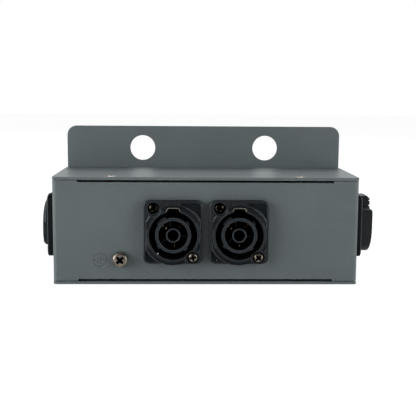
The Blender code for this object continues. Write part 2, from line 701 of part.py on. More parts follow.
def inlet_housing():
    """Housing of the locking inlet: arched collar, ribbed latch block, and a bore keyed for a plug."""
    root = FLANGE_FACE - OVERLAP
    edge = INLET_COLLAR_EDGE
    levels = ((0, root), (0, INLET_FACE - edge), (edge * 0.3, INLET_FACE - edge * 0.3), (edge, INLET_FACE))
    collar = loft([(arched_outline(inset), level) for inset, level in levels])
    top = FLANGE_TALL / 2 + FLANGE_LIFT - FLANGE_EDGE
    low = INLET_COLLAR_TOP - OVERLAP
    chamfer = LATCH_BLOCK_CHAMFER
    side = [(low, root), (top, root), (top, INLET_FACE - chamfer), (top - chamfer, INLET_FACE)]
    for rib in (1, 2):
        start = top - rib * LATCH_BLOCK_RIB - GRIP_GROOVE / 2
        sunk = INLET_FACE - GRIP_GROOVE
        end = start + GRIP_GROOVE
        side += [(end, INLET_FACE), (end, sunk), (start, sunk), (start, INLET_FACE)]
    block = sideways([*side, (low, INLET_FACE)], LATCH_BLOCK_WIDTH / 2)
    middle = (0, -COLLAR_DROP)
    seat = BARREL_FLOOR + SEAT_GAP
    bores = [turned([(INLET_BORE_RADIUS, THROUGH), (INLET_BORE_RADIUS, seat)], WIDE_STEPS + 4, middle)]
    bores.append(turned([(SHELL_BORE, seat + OVERLAP), (SHELL_BORE, -THROUGH)], WIDE_STEPS, middle))
    bores.append(latch_slot(INLET_BORE_RADIUS, INLET_FACE))
    wide = math.degrees(KEYWAY_CLEARANCE / BARREL_RADIUS)
    inner = INLET_BORE_RADIUS - OVERLAP / 2
    outer = BARREL_RADIUS + KEY_RISE + KEYWAY_CLEARANCE
    for start, end in KEYS:
        keyway = ring_sector(inner, outer, 180 - end - wide, 180 - start + wide, 4, middle)
        bores.append(plate(keyway, seat + 2 * OVERLAP, THROUGH))
    return moulded(collar, block, LATCH_BLOCK_WIDTH / 2 + CORNER_POCKET_GAP, bores)


def outlet_barrel():
    """Keyed barrel and its centre tube, joined by three webs, on a base that closes the housing."""
    root = BARREL_FLOOR - OVERLAP
    inner = BARREL_RADIUS - BARREL_WALL
    hollow = CENTRE_TUBE_RADIUS - CENTRE_TUBE_WALL
    base = plate(circle(SHELL_BORE - SEAT_GAP, MIDDLE_STEPS), BARREL_BACK, BARREL_FLOOR)
    joined = []
    walls = ((inner, BARREL_RADIUS, WIDE_STEPS), (hollow, CENTRE_TUBE_RADIUS, MIDDLE_STEPS - 4))
    for inside, outside, steps in walls:
        profile = [(inside, root), (outside, root), (outside, BARREL_FRONT), (inside, BARREL_FRONT)]
        joined.append(turned(profile, steps, hollow=True))
    for start, end in KEYS:
        key = ring_sector(BARREL_RADIUS - OVERLAP, BARREL_RADIUS + KEY_RISE, start, end, 3)
        joined.append(plate(key, root, BARREL_FRONT - KEY_SETBACK))
    for angle in WEB_ANGLES:
        near = CENTRE_TUBE_RADIUS - CENTRE_TUBE_WALL / 2
        far = inner + BARREL_WALL / 2
        half = WEB_THICKNESS / 2
        web = [about(point, angle) for point in ((near, -half), (far, -half), (far, half), (near, half))]
        joined.append(plate(web, root, BARREL_FRONT - WEB_SETBACK))
    slots = [contact_slot(angle, FORK_WIDTH / 2, CONTACT_THICKNESS / 2) for angle in CONTACT_ANGLES.values()]
    return moved(carved(base, joined=joined, cut=slots), Matrix.Translation((0, -COLLAR_DROP, 0)))


def contact_slot(angle, radial, across):
    """The cutter for a contact's way through the base."""
    inner = CONTACT_RADIUS - radial - HOLE_CLEARANCE
    outer = CONTACT_RADIUS + radial + HOLE_CLEARANCE
    half = across + HOLE_CLEARANCE
    corners = ((inner, -half), (outer, -half), (outer, half), (inner, half))
    return plate([about(point, angle) for point in corners], -THROUGH, BARREL_FLOOR + OVERLAP)


def inlet_carrier():
    """Pin carrier of the inlet: a base with its centre post."""
    base = plate(circle(SHELL_BORE - SEAT_GAP, MIDDLE_STEPS), BARREL_BACK, BARREL_FLOOR)
    edge = CENTRE_POST_RADIUS / 4
    post = turned([(CENTRE_POST_RADIUS - edge, PIN_TIP), (CENTRE_POST_RADIUS, PIN_TIP - edge),
                   (CENTRE_POST_RADIUS, BARREL_FLOOR - OVERLAP)])
    angles = [180 - angle for angle in CONTACT_ANGLES.values()]
    slots = [contact_slot(angle, CONTACT_THICKNESS / 2, BLADE_WIDTH / 2) for angle in angles]
    return moved(carved(base, joined=(post,), cut=slots), Matrix.Translation((0, -COLLAR_DROP, 0)))


def contact_blank(outline):
    """A flat contact cut from strip: the outline's X is its width, its Y runs along the connector's axis."""
    half = CONTACT_THICKNESS / 2
    return moved(plate(outline, -half, half), Matrix.Rotation(math.pi / 2, 4, "X"))


def push_on_tab():
    """One half of a tab's outline, from its chamfered end up to the back of the base."""
    tab = TAB_WIDTH / 2
    seat = BARREL_BACK - SEAT_GAP
    end = seat - TAB_LENGTH
    return [(tab - TAB_CHAMFER, end), (tab, end + TAB_CHAMFER), (tab, seat)]


def fork_contact():
    """Tuning-fork contact whose two leaves grip a pin, with a push-on tab behind the base."""
    tip = BARREL_FRONT - FORK_RECESS
    half = FORK_WIDTH / 2
    gap = FORK_GAP / 2
    bump = gap / 2
    lead = FORK_WIDTH / 4
    right = push_on_tab() + [(half, BARREL_BACK - SEAT_GAP), (half, tip - lead), (half - lead / 2, tip)]
    right += [(gap + lead / 4, tip), (bump, tip - 2 * lead), (gap, tip - 4 * lead)]
    right.append((gap, BARREL_FLOOR + 2 * OVERLAP))
    return contact_blank(right + [(-x, z) for x, z in reversed(right)])


def blade_contact():
    """Flat pin of the inlet, with its push-on tab."""
    half = BLADE_WIDTH / 2
    right = push_on_tab() + [(half, BARREL_BACK - SEAT_GAP), (half, PIN_TIP - TAB_CHAMFER)]
    right.append((half - TAB_CHAMFER, PIN_TIP))
    return contact_blank(right + [(-x, z) for x, z in reversed(right)])


def contact_place(angle, quarter=0):
    """Matrix that stands a contact at its angle around the barrel."""
    a = math.radians(angle)
    spot = (CONTACT_RADIUS * math.cos(a), CONTACT_RADIUS * math.sin(a) - COLLAR_DROP, 0)
    return Matrix.Translation(spot) @ Matrix.Rotation(a + math.radians(quarter), 4, "Z")


def receptacle():
    """Insulated push-on receptacle that covers a tab, its wires leaving at the far end."""
    outline = rounded_rectangle(RECEPTACLE_WIDTH, RECEPTACLE_THICKNESS, RECEPTACLE_THICKNESS / 4, 2)
    sleeve = plate(outline, RECEPTACLE_END, RECEPTACLE_FRONT)
    wide = TAB_WIDTH + 2 * HOLE_CLEARANCE
    thick = CONTACT_THICKNESS + 2 * HOLE_CLEARANCE
    deep = BARREL_BACK - TAB_LENGTH - 2 * SEAT_GAP
    pocket = [(-wide / 2, -thick / 2), (wide / 2, -thick / 2), (wide / 2, thick / 2), (-wide / 2, thick / 2)]
    return carved(sleeve, cut=[plate(pocket, deep, 0)])


def gasket():
    """Flat seal between a flange and its wall."""
    holes = [circle(SHELL_RADIUS + HOLE_CLEARANCE, WIDE_STEPS, (0, -COLLAR_DROP))]
    holes += [circle(FLANGE_SCREW_RADIUS + HOLE_CLEARANCE, SHAFT_STEPS, spot) for spot in FLANGE_SCREW_SPOTS]
    return plate(flange_outline(SEAT_GAP), GASKET_BACK, GASKET_BACK + GASKET_THICKNESS, holes)


# Enclosure
piece("body_shell", body_shell(), POWDER_COAT)
piece("wrap_cover", cover(), POWDER_COAT)
piece("hanging_plate", hanging_plate(), POWDER_COAT)

flush_screw = countersunk_screw(COVER_SCREW_HEAD, COVER_SCREW_RADIUS, COVER_SCREW_LENGTH)
for level, face in (("top", TOP_FACE), ("bottom", BOTTOM_FACE)):
    for side, (x, y) in zip(("left", "right"), COVER_SCREW_SPOTS):
        turned_side = side if level == "top" else {"left": "right", "right": "left"}[side]
        screw = moved(flush_screw, face @ Matrix.Translation((x, y, 0)))
        piece(f"cover_screw_{level}_{turned_side}", screw, NICKEL)
for number, (x, z) in enumerate(PLATE_SCREW_SPOTS, 1):
    piece(f"plate_screw_{number}", moved(flush_screw, BACK_FACE @ Matrix.Translation((-x, z, 0))), NICKEL)

# Connectors
outlet_parts = {
    "housing": (outlet_housing(), BLACK_NYLON),
    "barrel": (outlet_barrel(), BLACK_NYLON),
    "latch_plate": (latch_plate(OUTLET_BORE_RADIUS, OUTLET_FACE), NICKEL),
    "gasket": (gasket(), GASKET_RUBBER),
}
inlet_parts = {
    "housing": (inlet_housing(), BLACK_NYLON),
    "pin_carrier": (inlet_carrier(), BLACK_NYLON),
    "latch_plate": (latch_plate(INLET_BORE_RADIUS, INLET_FACE), NICKEL),
    "gasket": (gasket(), GASKET_RUBBER),
}
for conductor, angle in CONTACT_ANGLES.items():
    outlet_parts[f"{conductor}_contact"] = (moved(fork_contact(), contact_place(angle)), GOLD_PLATE)
    inlet_parts[f"{conductor}_pin"] = (moved(blade_contact(), contact_place(180 - angle, 90)), GOLD_PLATE)
head_seat = FLANGE_FACE - RECESS_DEPTH + SEAT_GAP
pan = pan_screw(FLANGE_SCREW_HEAD, FLANGE_SCREW_HEAD_HEIGHT, FLANGE_SCREW_RADIUS, FLANGE_SCREW_LENGTH)
for level, (x, y) in zip(("upper", "lower"), FLANGE_SCREW_SPOTS):
    for parts in (outlet_parts, inlet_parts):
        parts[f"screw_{level}"] = (moved(pan, Matrix.Translation((x, y, head_seat))), NICKEL)
for connector, frame in STATIONS.items():
    for part, (mesh, material) in (inlet_parts if connector == "inlet" else outlet_parts).items():
        piece(f"{connector}_{part}", mesh, material, frame)

# Wiring: an end is a point and the way in which a wire leaves it
def wire_end(connector, conductor, side):
    """A wire's end, sunk in the back of a receptacle."""
    frame = STATIONS[connector].matrix_world
    place = frame @ connector_place(connector, conductor)
    spot = place @ Vector((side * WIRE_SPREAD, 0, RECEPTACLE_END + WIRE_SINK))
    return spot, -frame.col[2].to_3d()


def connector_place(connector, conductor):
    """Where a conductor's contact stands in its connector; the inlet is the mirror image of an outlet."""
    angle = CONTACT_ANGLES[conductor]
    return contact_place(180 - angle, 90) if connector == "inlet" else contact_place(angle)


def leg(start, end, handles, rise=0.0):
    """Points along a wire's curve between two ends, lifted by up to a rise half-way."""
    (a, leaving_a), (b, leaving_b) = start, end
    points = interpolate_bezier(a, a + leaving_a * handles[0], b + leaving_b * handles[1], b, WIRE_STEPS + 1)
    lift = [rise * math.sin(math.pi * i / WIRE_STEPS) ** 2 for i in range(WIRE_STEPS + 1)]
    return [point + Vector((0, 0, height)) for point, height in zip(points, lift)]


def three_legs(conductor, layer, sides, rises, side_end):
    """Legs from the inlet past both front outlets to a last end, each conductor in a layer of its own."""
    right, left_in, left_out = (wire_end(*place) for place in (
        ("outlet_front_right", conductor, 1), ("outlet_front_left", conductor, sides[0]),
        ("outlet_front_left", conductor, sides[1])))
    room = REAR_Y - SHEET - WIRE_RADIUS - WIRE_WALL_GAP - right[0].y
    back = (room - layer * WIRE_LAYER) * 4 / 3
    swing = back * SWING_SHARE
    return [
        leg(wire_end("inlet", conductor, 0), right, (WIRE_TURN, swing), rises[0]),
        leg(wire_end("outlet_front_right", conductor, -1), left_in, (back, back), rises[1]),
        leg(left_out, side_end, (swing, WIRE_TURN), rises[2]),
    ]


def ring_terminal(turn, seat):
    """A ring terminal in the earth screw's stack."""
    bore = EARTH_SCREW_RADIUS + HOLE_CLEARANCE
    half = WIRE_RADIUS
    near = RING_RADIUS - OVERLAP
    tongue = [(near, -half), (RING_TONGUE, -half), (RING_TONGUE, half), (near, half)]
    eye = plate(circle(RING_RADIUS, SMALL_STEPS + 2), seat - RING_THICKNESS, seat)
    blank = carved(eye, joined=[plate(tongue, seat - RING_THICKNESS, seat)], cut=[drill(bore, Matrix())])
    return moved(blank, earth_frame.matrix_world @ Matrix.Rotation(math.radians(turn), 4, "Z"))


def ring_end(turn, seat):
    """A wire's end, crimped on the tongue of a ring terminal."""
    place = earth_frame.matrix_world @ Matrix.Rotation(math.radians(turn), 4, "Z")
    spot = place @ Vector((RING_RADIUS + WIRE_SINK, 0, seat - RING_THICKNESS - WIRE_RADIUS / 2))
    return spot, place.col[0].to_3d()


def harness(conductor, connectors, legs, rings=()):
    """Wires of one conductor with the receptacles and rings crimped on them."""
    ends = [
        moved(receptacle(), STATIONS[connector].matrix_world @ connector_place(connector, conductor))
        for connector in connectors
    ]
    wires = [wire(points) for points in legs]
    return carved(wires[0], joined=[*wires[1:], *ends, *rings])


earth_frame = station("earth_axis", EARTH_X, FRONT_Y, EARTH_Z, (0, -1, 0))
ring_seat = -SHEET - SEAT_GAP
second_seat = ring_seat - RING_THICKNESS - SEAT_GAP
line_legs = three_legs("line", 1, (-1, 1), (CROSSING_RISE, 0, 0), wire_end("outlet_side", "line", 0))
neutral_rises = (0, NEUTRAL_RISE, CROSSING_RISE)
neutral_legs = three_legs("neutral", 0, (1, -1), neutral_rises, wire_end("outlet_side", "neutral", 0))

# The earth wire passes the front left outlet in a channel at its side
channel_x = -OUTLET_PITCH / 2 - SHELL_RADIUS - CHANNEL_GAP
channel_z = CONNECTOR_HEIGHT - CHANNEL_DROP
channel_back = Vector((channel_x, FRONT_Y + SHELL_DEPTH, channel_z))
channel_front = Vector((channel_x, FRONT_Y + SHELL_DEPTH / 2, channel_z))
rearward = Vector((0, 1, 0))
dips = (-EARTH_DIP, -EARTH_DIP, 0)
earth_legs = three_legs("earth", 2, (1, -1), dips, (channel_back, rearward))
earth_legs[2] += leg((channel_front, -rearward), ring_end(RING_SPLAY, ring_seat), (RING_TURN, RING_TURN))
side_end = wire_end("outlet_side", "earth", 0)
side_leg = leg(ring_end(-RING_SPLAY, second_seat), side_end, (RING_TURN, RING_TURN))

near_ring = [name for name in STATIONS if name != "outlet_side"]
front_ring = ring_terminal(RING_SPLAY, ring_seat)
second_ring = ring_terminal(-RING_SPLAY, second_seat)
piece("line_harness", harness("line", STATIONS, line_legs), LINE_COVER)
piece("neutral_harness", harness("neutral", STATIONS, neutral_legs), NEUTRAL_COVER)
piece("earth_harness", harness("earth", near_ring, earth_legs, [front_ring]), EARTH_COVER)
piece("earth_lead_side", harness("earth", ["outlet_side"], [side_leg], [second_ring]), EARTH_COVER)

# Earth terminal
earth_out = EARTH_WASHER_THICKNESS + 2 * SEAT_GAP
half_arm = EARTH_HEAD_RADIUS - CROSS_MARGIN
half_cut = CROSS_CUT / 2
arm = [(-half_arm, -half_cut), (half_arm, -half_cut), (half_arm, half_cut), (-half_arm, half_cut)]
arms = [plate(arm, EARTH_HEAD_HEIGHT - CROSS_DEPTH, EARTH_HEAD_HEIGHT + OVERLAP)]
arms.append(moved(arms[0], Matrix.Rotation(math.pi / 2, 4, "Z")))
blank = pan_screw(EARTH_HEAD_RADIUS, EARTH_HEAD_HEIGHT, EARTH_SCREW_RADIUS, EARTH_SCREW_LENGTH, MIDDLE_STEPS)
screw = moved(carved(blank, cut=arms), Matrix.Translation((0, 0, earth_out)))
piece("earth_screw", screw, NICKEL, earth_frame)
bore = [circle(EARTH_SCREW_RADIUS + HOLE_CLEARANCE, SMALL_STEPS)]
washer_rim = circle(EARTH_HEAD_RADIUS - HOLE_CLEARANCE, MIDDLE_STEPS)
washer = plate(washer_rim, SEAT_GAP, SEAT_GAP + EARTH_WASHER_THICKNESS, bore)
piece("earth_washer", washer, ZINC, earth_frame)
stack = ring_seat - 2 * (RING_THICKNESS + SEAT_GAP)
lock = plate(circle(EARTH_NUT_FLATS / 2, SMALL_STEPS), stack - EARTH_WASHER_THICKNESS, stack, bore)
piece("earth_lock_washer", lock, ZINC, earth_frame)
stack -= EARTH_WASHER_THICKNESS + SEAT_GAP
thread = EARTH_SCREW_RADIUS + THREAD_CLEARANCE
earth_nut = moved(hexagon_nut(EARTH_NUT_FLATS, EARTH_NUT_HEIGHT, thread), Matrix.Translation((0, 0, stack)))
piece("earth_nut", earth_nut, ZINC, earth_frame)
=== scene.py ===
import math

import bmesh
import bpy
from mathutils import Matrix, Vector


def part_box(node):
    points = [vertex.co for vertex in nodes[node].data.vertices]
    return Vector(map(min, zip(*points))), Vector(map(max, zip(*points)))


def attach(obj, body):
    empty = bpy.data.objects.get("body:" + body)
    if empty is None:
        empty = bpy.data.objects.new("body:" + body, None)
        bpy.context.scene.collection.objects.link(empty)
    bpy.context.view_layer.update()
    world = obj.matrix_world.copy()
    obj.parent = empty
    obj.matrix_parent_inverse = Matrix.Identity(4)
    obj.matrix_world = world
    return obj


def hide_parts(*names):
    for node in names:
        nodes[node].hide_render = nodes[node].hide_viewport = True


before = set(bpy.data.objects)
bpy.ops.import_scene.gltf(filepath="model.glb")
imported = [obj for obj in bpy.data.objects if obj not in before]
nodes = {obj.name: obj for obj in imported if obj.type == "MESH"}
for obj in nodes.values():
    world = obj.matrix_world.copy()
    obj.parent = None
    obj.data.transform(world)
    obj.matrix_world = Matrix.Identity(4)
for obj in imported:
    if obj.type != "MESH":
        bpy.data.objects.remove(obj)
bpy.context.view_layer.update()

scene = bpy.context.scene


# The studio: a white paper floor that keeps a faint shadow, a white surround behind the part and
# a dim one on the camera's side, three soft boxes, and a small lamp by the camera that gives the
# plated contacts their glints.
def add(tree, kind, inputs=(), **settings):
    """Adds one node with its settings, its inputs' values and its links."""
    made = tree.nodes.new(kind)
    for name, value in settings.items():
        setattr(made, name, value)
    for socket, value in dict(inputs).items():
        if isinstance(value, bpy.types.NodeSocket):
            tree.links.new(value, made.inputs[socket])
        else:
            made.inputs[socket].default_value = value
    return made


def linear(code):
    """An sRGB hex colour as linear red, green, blue and alpha."""
    parts = [int(code[i:i + 2], 16) / 255 for i in (1, 3, 5)]
    return (*[p / 12.92 if p <= 0.04045 else ((p + 0.055) / 1.055) ** 2.4 for p in parts], 1.0)


def blank_material(name):
    """A material with only its output node, and that node."""
    made = bpy.data.materials.new(name)
    made.use_nodes = True
    made.node_tree.nodes.clear()
    return made, add(made.node_tree, "ShaderNodeOutputMaterial")


FLOOR_SIZE = 6.0
FLOOR_DROP = 0.0003
FLOOR_WHITE = 1.14
FLOOR_SEEN = 0.85
FLOOR_MIRRORED = 0.1
reach = FLOOR_SIZE / 2
corners = [(reach * x, reach * y, -FLOOR_DROP) for x, y in ((-1, -1), (1, -1), (1, 1), (-1, 1))]
floor_mesh = bpy.data.meshes.new("floor")
floor_mesh.from_pydata(corners, [], [(0, 1, 2, 3)])
floor = bpy.data.objects.new("floor", floor_mesh)
scene.collection.objects.link(floor)
# Matt white paper, which takes the shadow, and mostly plain white to the camera
paper, paper_out = blank_material("white studio paper")
tree = paper.node_tree
path = add(tree, "ShaderNodeLightPath")
mirrored = add(tree, "ShaderNodeMath", {0: path.outputs["Is Glossy Ray"],
                                        1: path.outputs["Is Transmission Ray"]}, operation="MAXIMUM")
share = add(tree, "ShaderNodeMath", {0: mirrored.outputs[0], 1: FLOOR_MIRRORED}, operation="MULTIPLY")
seen = add(tree, "ShaderNodeMath", {0: path.outputs["Is Camera Ray"], 1: FLOOR_SEEN},
           operation="MULTIPLY")
share = add(tree, "ShaderNodeMath", {0: seen.outputs[0], 1: share.outputs[0]}, operation="MAXIMUM")
white = add(tree, "ShaderNodeEmission", {"Color": (1, 1, 1, 1), "Strength": FLOOR_WHITE})
matt = add(tree, "ShaderNodeBsdfDiffuse", {"Color": linear("#f8f8f8")})
mixed = add(tree, "ShaderNodeMixShader", {0: share.outputs[0], 1: matt.outputs[0], 2: white.outputs[0]})
tree.links.new(mixed.outputs[0], paper_out.inputs["Surface"])
floor_mesh.materials.append(paper)

SURROUND_DIM = 0.05
SURROUND_TURN = (-0.5, 0.35)
world = bpy.data.worlds.new("studio")
scene.world = world
world.use_nodes = True
tree = world.node_tree
tree.nodes.clear()
path = add(tree, "ShaderNodeLightPath")
direction = add(tree, "ShaderNodeTexCoord")
axes = add(tree, "ShaderNodeSeparateXYZ", {0: direction.outputs["Generated"]})
behind = add(tree, "ShaderNodeMapRange", {"Value": axes.outputs["Y"], "From Min": SURROUND_TURN[0],
                                          "From Max": SURROUND_TURN[1]}, interpolation_type="SMOOTHSTEP")
mirrored = add(tree, "ShaderNodeMath", {0: path.outputs["Is Glossy Ray"],
                                        1: path.outputs["Is Transmission Ray"]}, operation="MAXIMUM")
level_seen = add(tree, "ShaderNodeMapRange", {"Value": mirrored.outputs[0], "To Min": SURROUND_DIM,
                                              "To Max": 1.0})
strength = add(tree, "ShaderNodeMath", {0: behind.outputs[0], 1: level_seen.outputs[0]},
               operation="MULTIPLY")
around = add(tree, "ShaderNodeBackground", {"Color": linear("#f4f6f8"), "Strength": strength.outputs[0]})
plain = add(tree, "ShaderNodeBackground", {"Color": (1, 1, 1, 1), "Strength": 1.0})
choose = add(tree, "ShaderNodeMixShader", {0: path.outputs["Is Camera Ray"], 1: around.outputs[0],
                                           2: plain.outputs[0]})
add(tree, "ShaderNodeOutputWorld", {"Surface": choose.outputs[0]})

LAMP_AIM = Vector((0, 0, 0.03))
for lamp_name, place, size, watts in (
    ("soft_box_left", (-1.020, -0.500, 0.190), 1.0, 16.3),
    ("soft_box_right", (1.020, -0.500, 0.130), 1.0, 12.2),
    ("soft_box_rear", (0.0, 0.600, 0.970), 0.8, 5.1),
    ("catch_light", (-0.030, -0.500, 0.115), 0.025, 0.035),
):
    lamp = bpy.data.lights.new(lamp_name, "AREA")
    lamp.shape = "SQUARE"
    lamp.size = size
    lamp.energy = watts
    box = bpy.data.objects.new(lamp_name, lamp)
    box.location = place
    box.rotation_euler = (LAMP_AIM - Vector(place)).to_track_quat("-Z", "Y").to_euler()
    scene.collection.objects.link(box)

# The camera stands in front of the box and a little above it, as in the photograph
CAMERA_PLACE = (-0.010863, -0.427143, 0.093329)
CAMERA_YAW = 0.02933
CAMERA_PITCH = 0.13827
CAMERA_ROLL = 0.0072
SENSOR_WIDTH = 36.0
FOCAL_PIXELS = 837.08
PICTURE_PIXELS = 416
ahead = Vector((math.sin(CAMERA_YAW) * math.cos(CAMERA_PITCH),
                math.cos(CAMERA_YAW) * math.cos(CAMERA_PITCH), -math.sin(CAMERA_PITCH)))
level = Vector((math.cos(CAMERA_YAW), -math.sin(CAMERA_YAW), 0))
upright = level.cross(ahead)
right = level * math.cos(CAMERA_ROLL) + upright * math.sin(CAMERA_ROLL)
up = upright * math.cos(CAMERA_ROLL) - level * math.sin(CAMERA_ROLL)
lens = bpy.data.cameras.new("camera")
lens.sensor_width = SENSOR_WIDTH
lens.lens = FOCAL_PIXELS / PICTURE_PIXELS * SENSOR_WIDTH
lens.clip_start = 0.01
camera = bpy.data.objects.new("camera", lens)
camera.matrix_world = Matrix.Translation(CAMERA_PLACE) @ Matrix((right, up, -ahead)).transposed().to_4x4()
scene.collection.objects.link(camera)
scene.camera = camera
scene.view_settings.view_transform = "Standard"


# The case: a folded body, a cover bent round it and an upright plate, of 1.2 and 1.5 mm sheet
# steel, screwed together and powder coated in grey. The coat rounds the cut edges, pulls thin
# and pale over them, and builds up in the notches and seams. The body's bends carry that paler
# coat as a painted highlight, where light falls on their curve.
SAME_POINT = 0.00002
SAME_PLANE = 0.6
FLAT_AREA = 0.00015
AREA_WEIGHT = 95


def flatten(mesh):
    """Gives the corners of each large face that face's own direction, so that it shades flat."""
    directions = [corner.vector.copy() for corner in mesh.corner_normals]
    for face in mesh.polygons:
        if face.area > FLAT_AREA:
            for index in face.loop_indices:
                directions[index] = face.normal.copy()
    mesh.normals_split_custom_set(directions)


def eased(name, node, ease, materials, limit=30, reshape=None):
    """A merged copy of a CAD node with its edges eased; the last material is the edges'."""
    mesh = nodes[node].data.copy()
    mesh.name = name
    bm = bmesh.new()
    bm.from_mesh(mesh)
    bmesh.ops.remove_doubles(bm, verts=bm.verts, dist=SAME_POINT)
    bmesh.ops.dissolve_limit(bm, angle_limit=math.radians(SAME_PLANE), verts=bm.verts, edges=bm.edges)
    if reshape:
        reshape(bm)
    bm.to_mesh(mesh)
    bm.free()
    mesh.materials.clear()
    for material in materials:
        mesh.materials.append(material)
    mesh.shade_smooth()
    draft = bpy.data.objects.new(name, mesh)
    scene.collection.objects.link(draft)
    bevel = draft.modifiers.new("ease", "BEVEL")
    bevel.width = ease
    bevel.segments = 2
    bevel.limit_method = "ANGLE"
    bevel.angle_limit = math.radians(limit)
    bevel.use_clamp_overlap = False
    bevel.material = len(materials) - 1
    normals = draft.modifiers.new("flat faces", "WEIGHTED_NORMAL")
    normals.keep_sharp = True
    normals.weight = AREA_WEIGHT
    made = bpy.data.meshes.new_from_object(draft.evaluated_get(bpy.context.evaluated_depsgraph_get()))
    bpy.data.objects.remove(draft, do_unlink=True)
    flatten(made)
    low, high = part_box(node)
    for vertex in made.vertices:
        vertex.co = [min(max(c, a), b) for c, a, b in zip(vertex.co, low, high)]
    piece = bpy.data.objects.new(name, made)
    scene.collection.objects.link(piece)
    return piece


def stands_for(piece, slot, *cad_nodes, body="chassis"):
    """Hangs a finished piece on its body in place of its CAD nodes."""
    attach(piece, body)
    if cad_nodes:
        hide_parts(*cad_nodes)
    return piece


def powder_coat(name, base, light, rough):
    """Baked polyester powder: fine orange peel, a tone that drifts a little, and sparse pale dust."""
    drift_mm, peel_mm, dust_mm = 26.3, 0.55, 9.52
    made, out = blank_material(name)
    tree = made.node_tree
    place = add(tree, "ShaderNodeTexCoord").outputs["Object"]
    drift = add(tree, "ShaderNodeTexNoise", {"Vector": place, "Scale": 1000 / drift_mm, "Detail": 3.0,
                                             "Roughness": 0.6})
    peel = add(tree, "ShaderNodeTexNoise", {"Vector": place, "Scale": 1000 / peel_mm, "Detail": 2.0,
                                            "Roughness": 0.7})
    tone = add(tree, "ShaderNodeMath", {0: drift.outputs[0], 1: 0.45}, operation="MULTIPLY")
    tone = add(tree, "ShaderNodeMath", {0: peel.outputs[0], 1: 0.55, 2: tone.outputs[0]},
               operation="MULTIPLY_ADD")
    ramp = add(tree, "ShaderNodeMapRange", {"Value": tone.outputs[0], "From Min": 0.32, "From Max": 0.68})
    colour = add(tree, "ShaderNodeMix", {"Factor": ramp.outputs[0], "A": linear(base), "B": linear(light)},
                 data_type="RGBA")
    dust = add(tree, "ShaderNodeTexVoronoi", {"Vector": place, "Scale": 1000 / dust_mm, "Randomness": 1.0})
    speck = add(tree, "ShaderNodeMapRange", {"Value": dust.outputs["Distance"], "From Min": 0.010,
                                             "From Max": 0.030, "To Min": 1.0, "To Max": 0.0})
    rare = add(tree, "ShaderNodeSeparateColor", {0: dust.outputs["Color"]})
    few = add(tree, "ShaderNodeMath", {0: rare.outputs[0], 1: 0.72}, operation="GREATER_THAN")
    speck = add(tree, "ShaderNodeMath", {0: speck.outputs[0], 1: few.outputs[0]}, operation="MULTIPLY")
    dusty = add(tree, "ShaderNodeMix", {"Factor": speck.outputs[0], "A": colour.outputs["Result"],
                                        "B": linear("#a9b3b3")}, data_type="RGBA")
    gloss = add(tree, "ShaderNodeMapRange", {"Value": peel.outputs[0], "From Min": 0.3, "From Max": 0.7,
                                             "To Min": rough - 0.04, "To Max": rough + 0.06})
    bump = add(tree, "ShaderNodeBump", {"Height": peel.outputs[0], "Strength": 0.22, "Distance": 0.00006})
    shader = add(tree, "ShaderNodeBsdfPrincipled", {"Base Color": dusty.outputs["Result"],
                                                   "Roughness": gloss.outputs[0],
                                                   "Normal": bump.outputs[0], "IOR": 1.5})
    tree.links.new(shader.outputs[0], out.inputs["Surface"])
    return made


# A cool mid grey with a soft sheen, and the same coat where it's thin: paler and a little glossier; on the
# body's bends this paler coat is a painted highlight
coat = powder_coat("grey powder coat", "#5d6668", "#687273", 0.40)
coat_thin_and_bend_highlight = powder_coat("grey powder coat, thin at edges, painted highlight on bends", "#6c7678", "#7a8485", 0.36)
CASE_EASE = 0.00015
NOTCH_SPAN = (0.0614, 0.0634)
NOTCH_SHIFT = 0.0011
NOTCH_FLOOR = 0.0026
NOTCH_DEPTH = 0.005
NOTCH_REACH = 0.0016
FLANGE_REACH = 0.012
BEND_START = 0.0036
BEND_RISE = 0.0019
SLOT_DROP = 0.0009
BODY_EDGE = 0.0016
BODY_TRIM = 0.00012
COVER_SHEET = 0.0012
UPPER_BUILD = 0.00028
LOWER_BUILD = 0.00015
SAME_LEVEL = 0.00005
LIT_BEND_LEAN = (0.25, 0.97)
LIT_BEND_FRONT = -0.2
case_low, case_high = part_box("wrap_cover")
front_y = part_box("body_shell")[0].y


def settled_edges(bm):
    """The coat's build-up on the body: shallower relief notches and rounder, wider slots."""
    for vertex in bm.verts:
        x, y, z = vertex.co
        at_notch = NOTCH_SPAN[0] < abs(x) < NOTCH_SPAN[1]
        in_flange = y < front_y + FLANGE_REACH
        if at_notch and in_flange:
            vertex.co.x -= math.copysign(NOTCH_SHIFT, x)
        for level, inward in ((case_low.z, 1), (case_high.z, -1)):
            depth = (z - level) * inward
            if at_notch and y < front_y + NOTCH_REACH and NOTCH_FLOOR < depth < NOTCH_DEPTH:
                vertex.co.z = level + inward * NOTCH_FLOOR
            elif abs(x) < NOTCH_SPAN[1] and in_flange and BODY_EDGE < depth < BEND_START:
                vertex.co.z += inward * SLOT_DROP * min((BEND_START - depth) / BEND_RISE, 1)
            elif abs(x) > NOTCH_SPAN[0] and abs(depth - BODY_EDGE) < SAME_LEVEL:
                vertex.co.z += inward * BODY_TRIM


def thickened_sheets(bm):
    """The coat's build-up inside the cover, which narrows the seams over the body's edges."""
    for vertex in bm.verts:
        if abs(case_high.z - vertex.co.z - COVER_SHEET) < SAME_LEVEL:
            vertex.co.z -= UPPER_BUILD
        elif abs(vertex.co.z - case_low.z - COVER_SHEET) < SAME_LEVEL:
            vertex.co.z += LOWER_BUILD


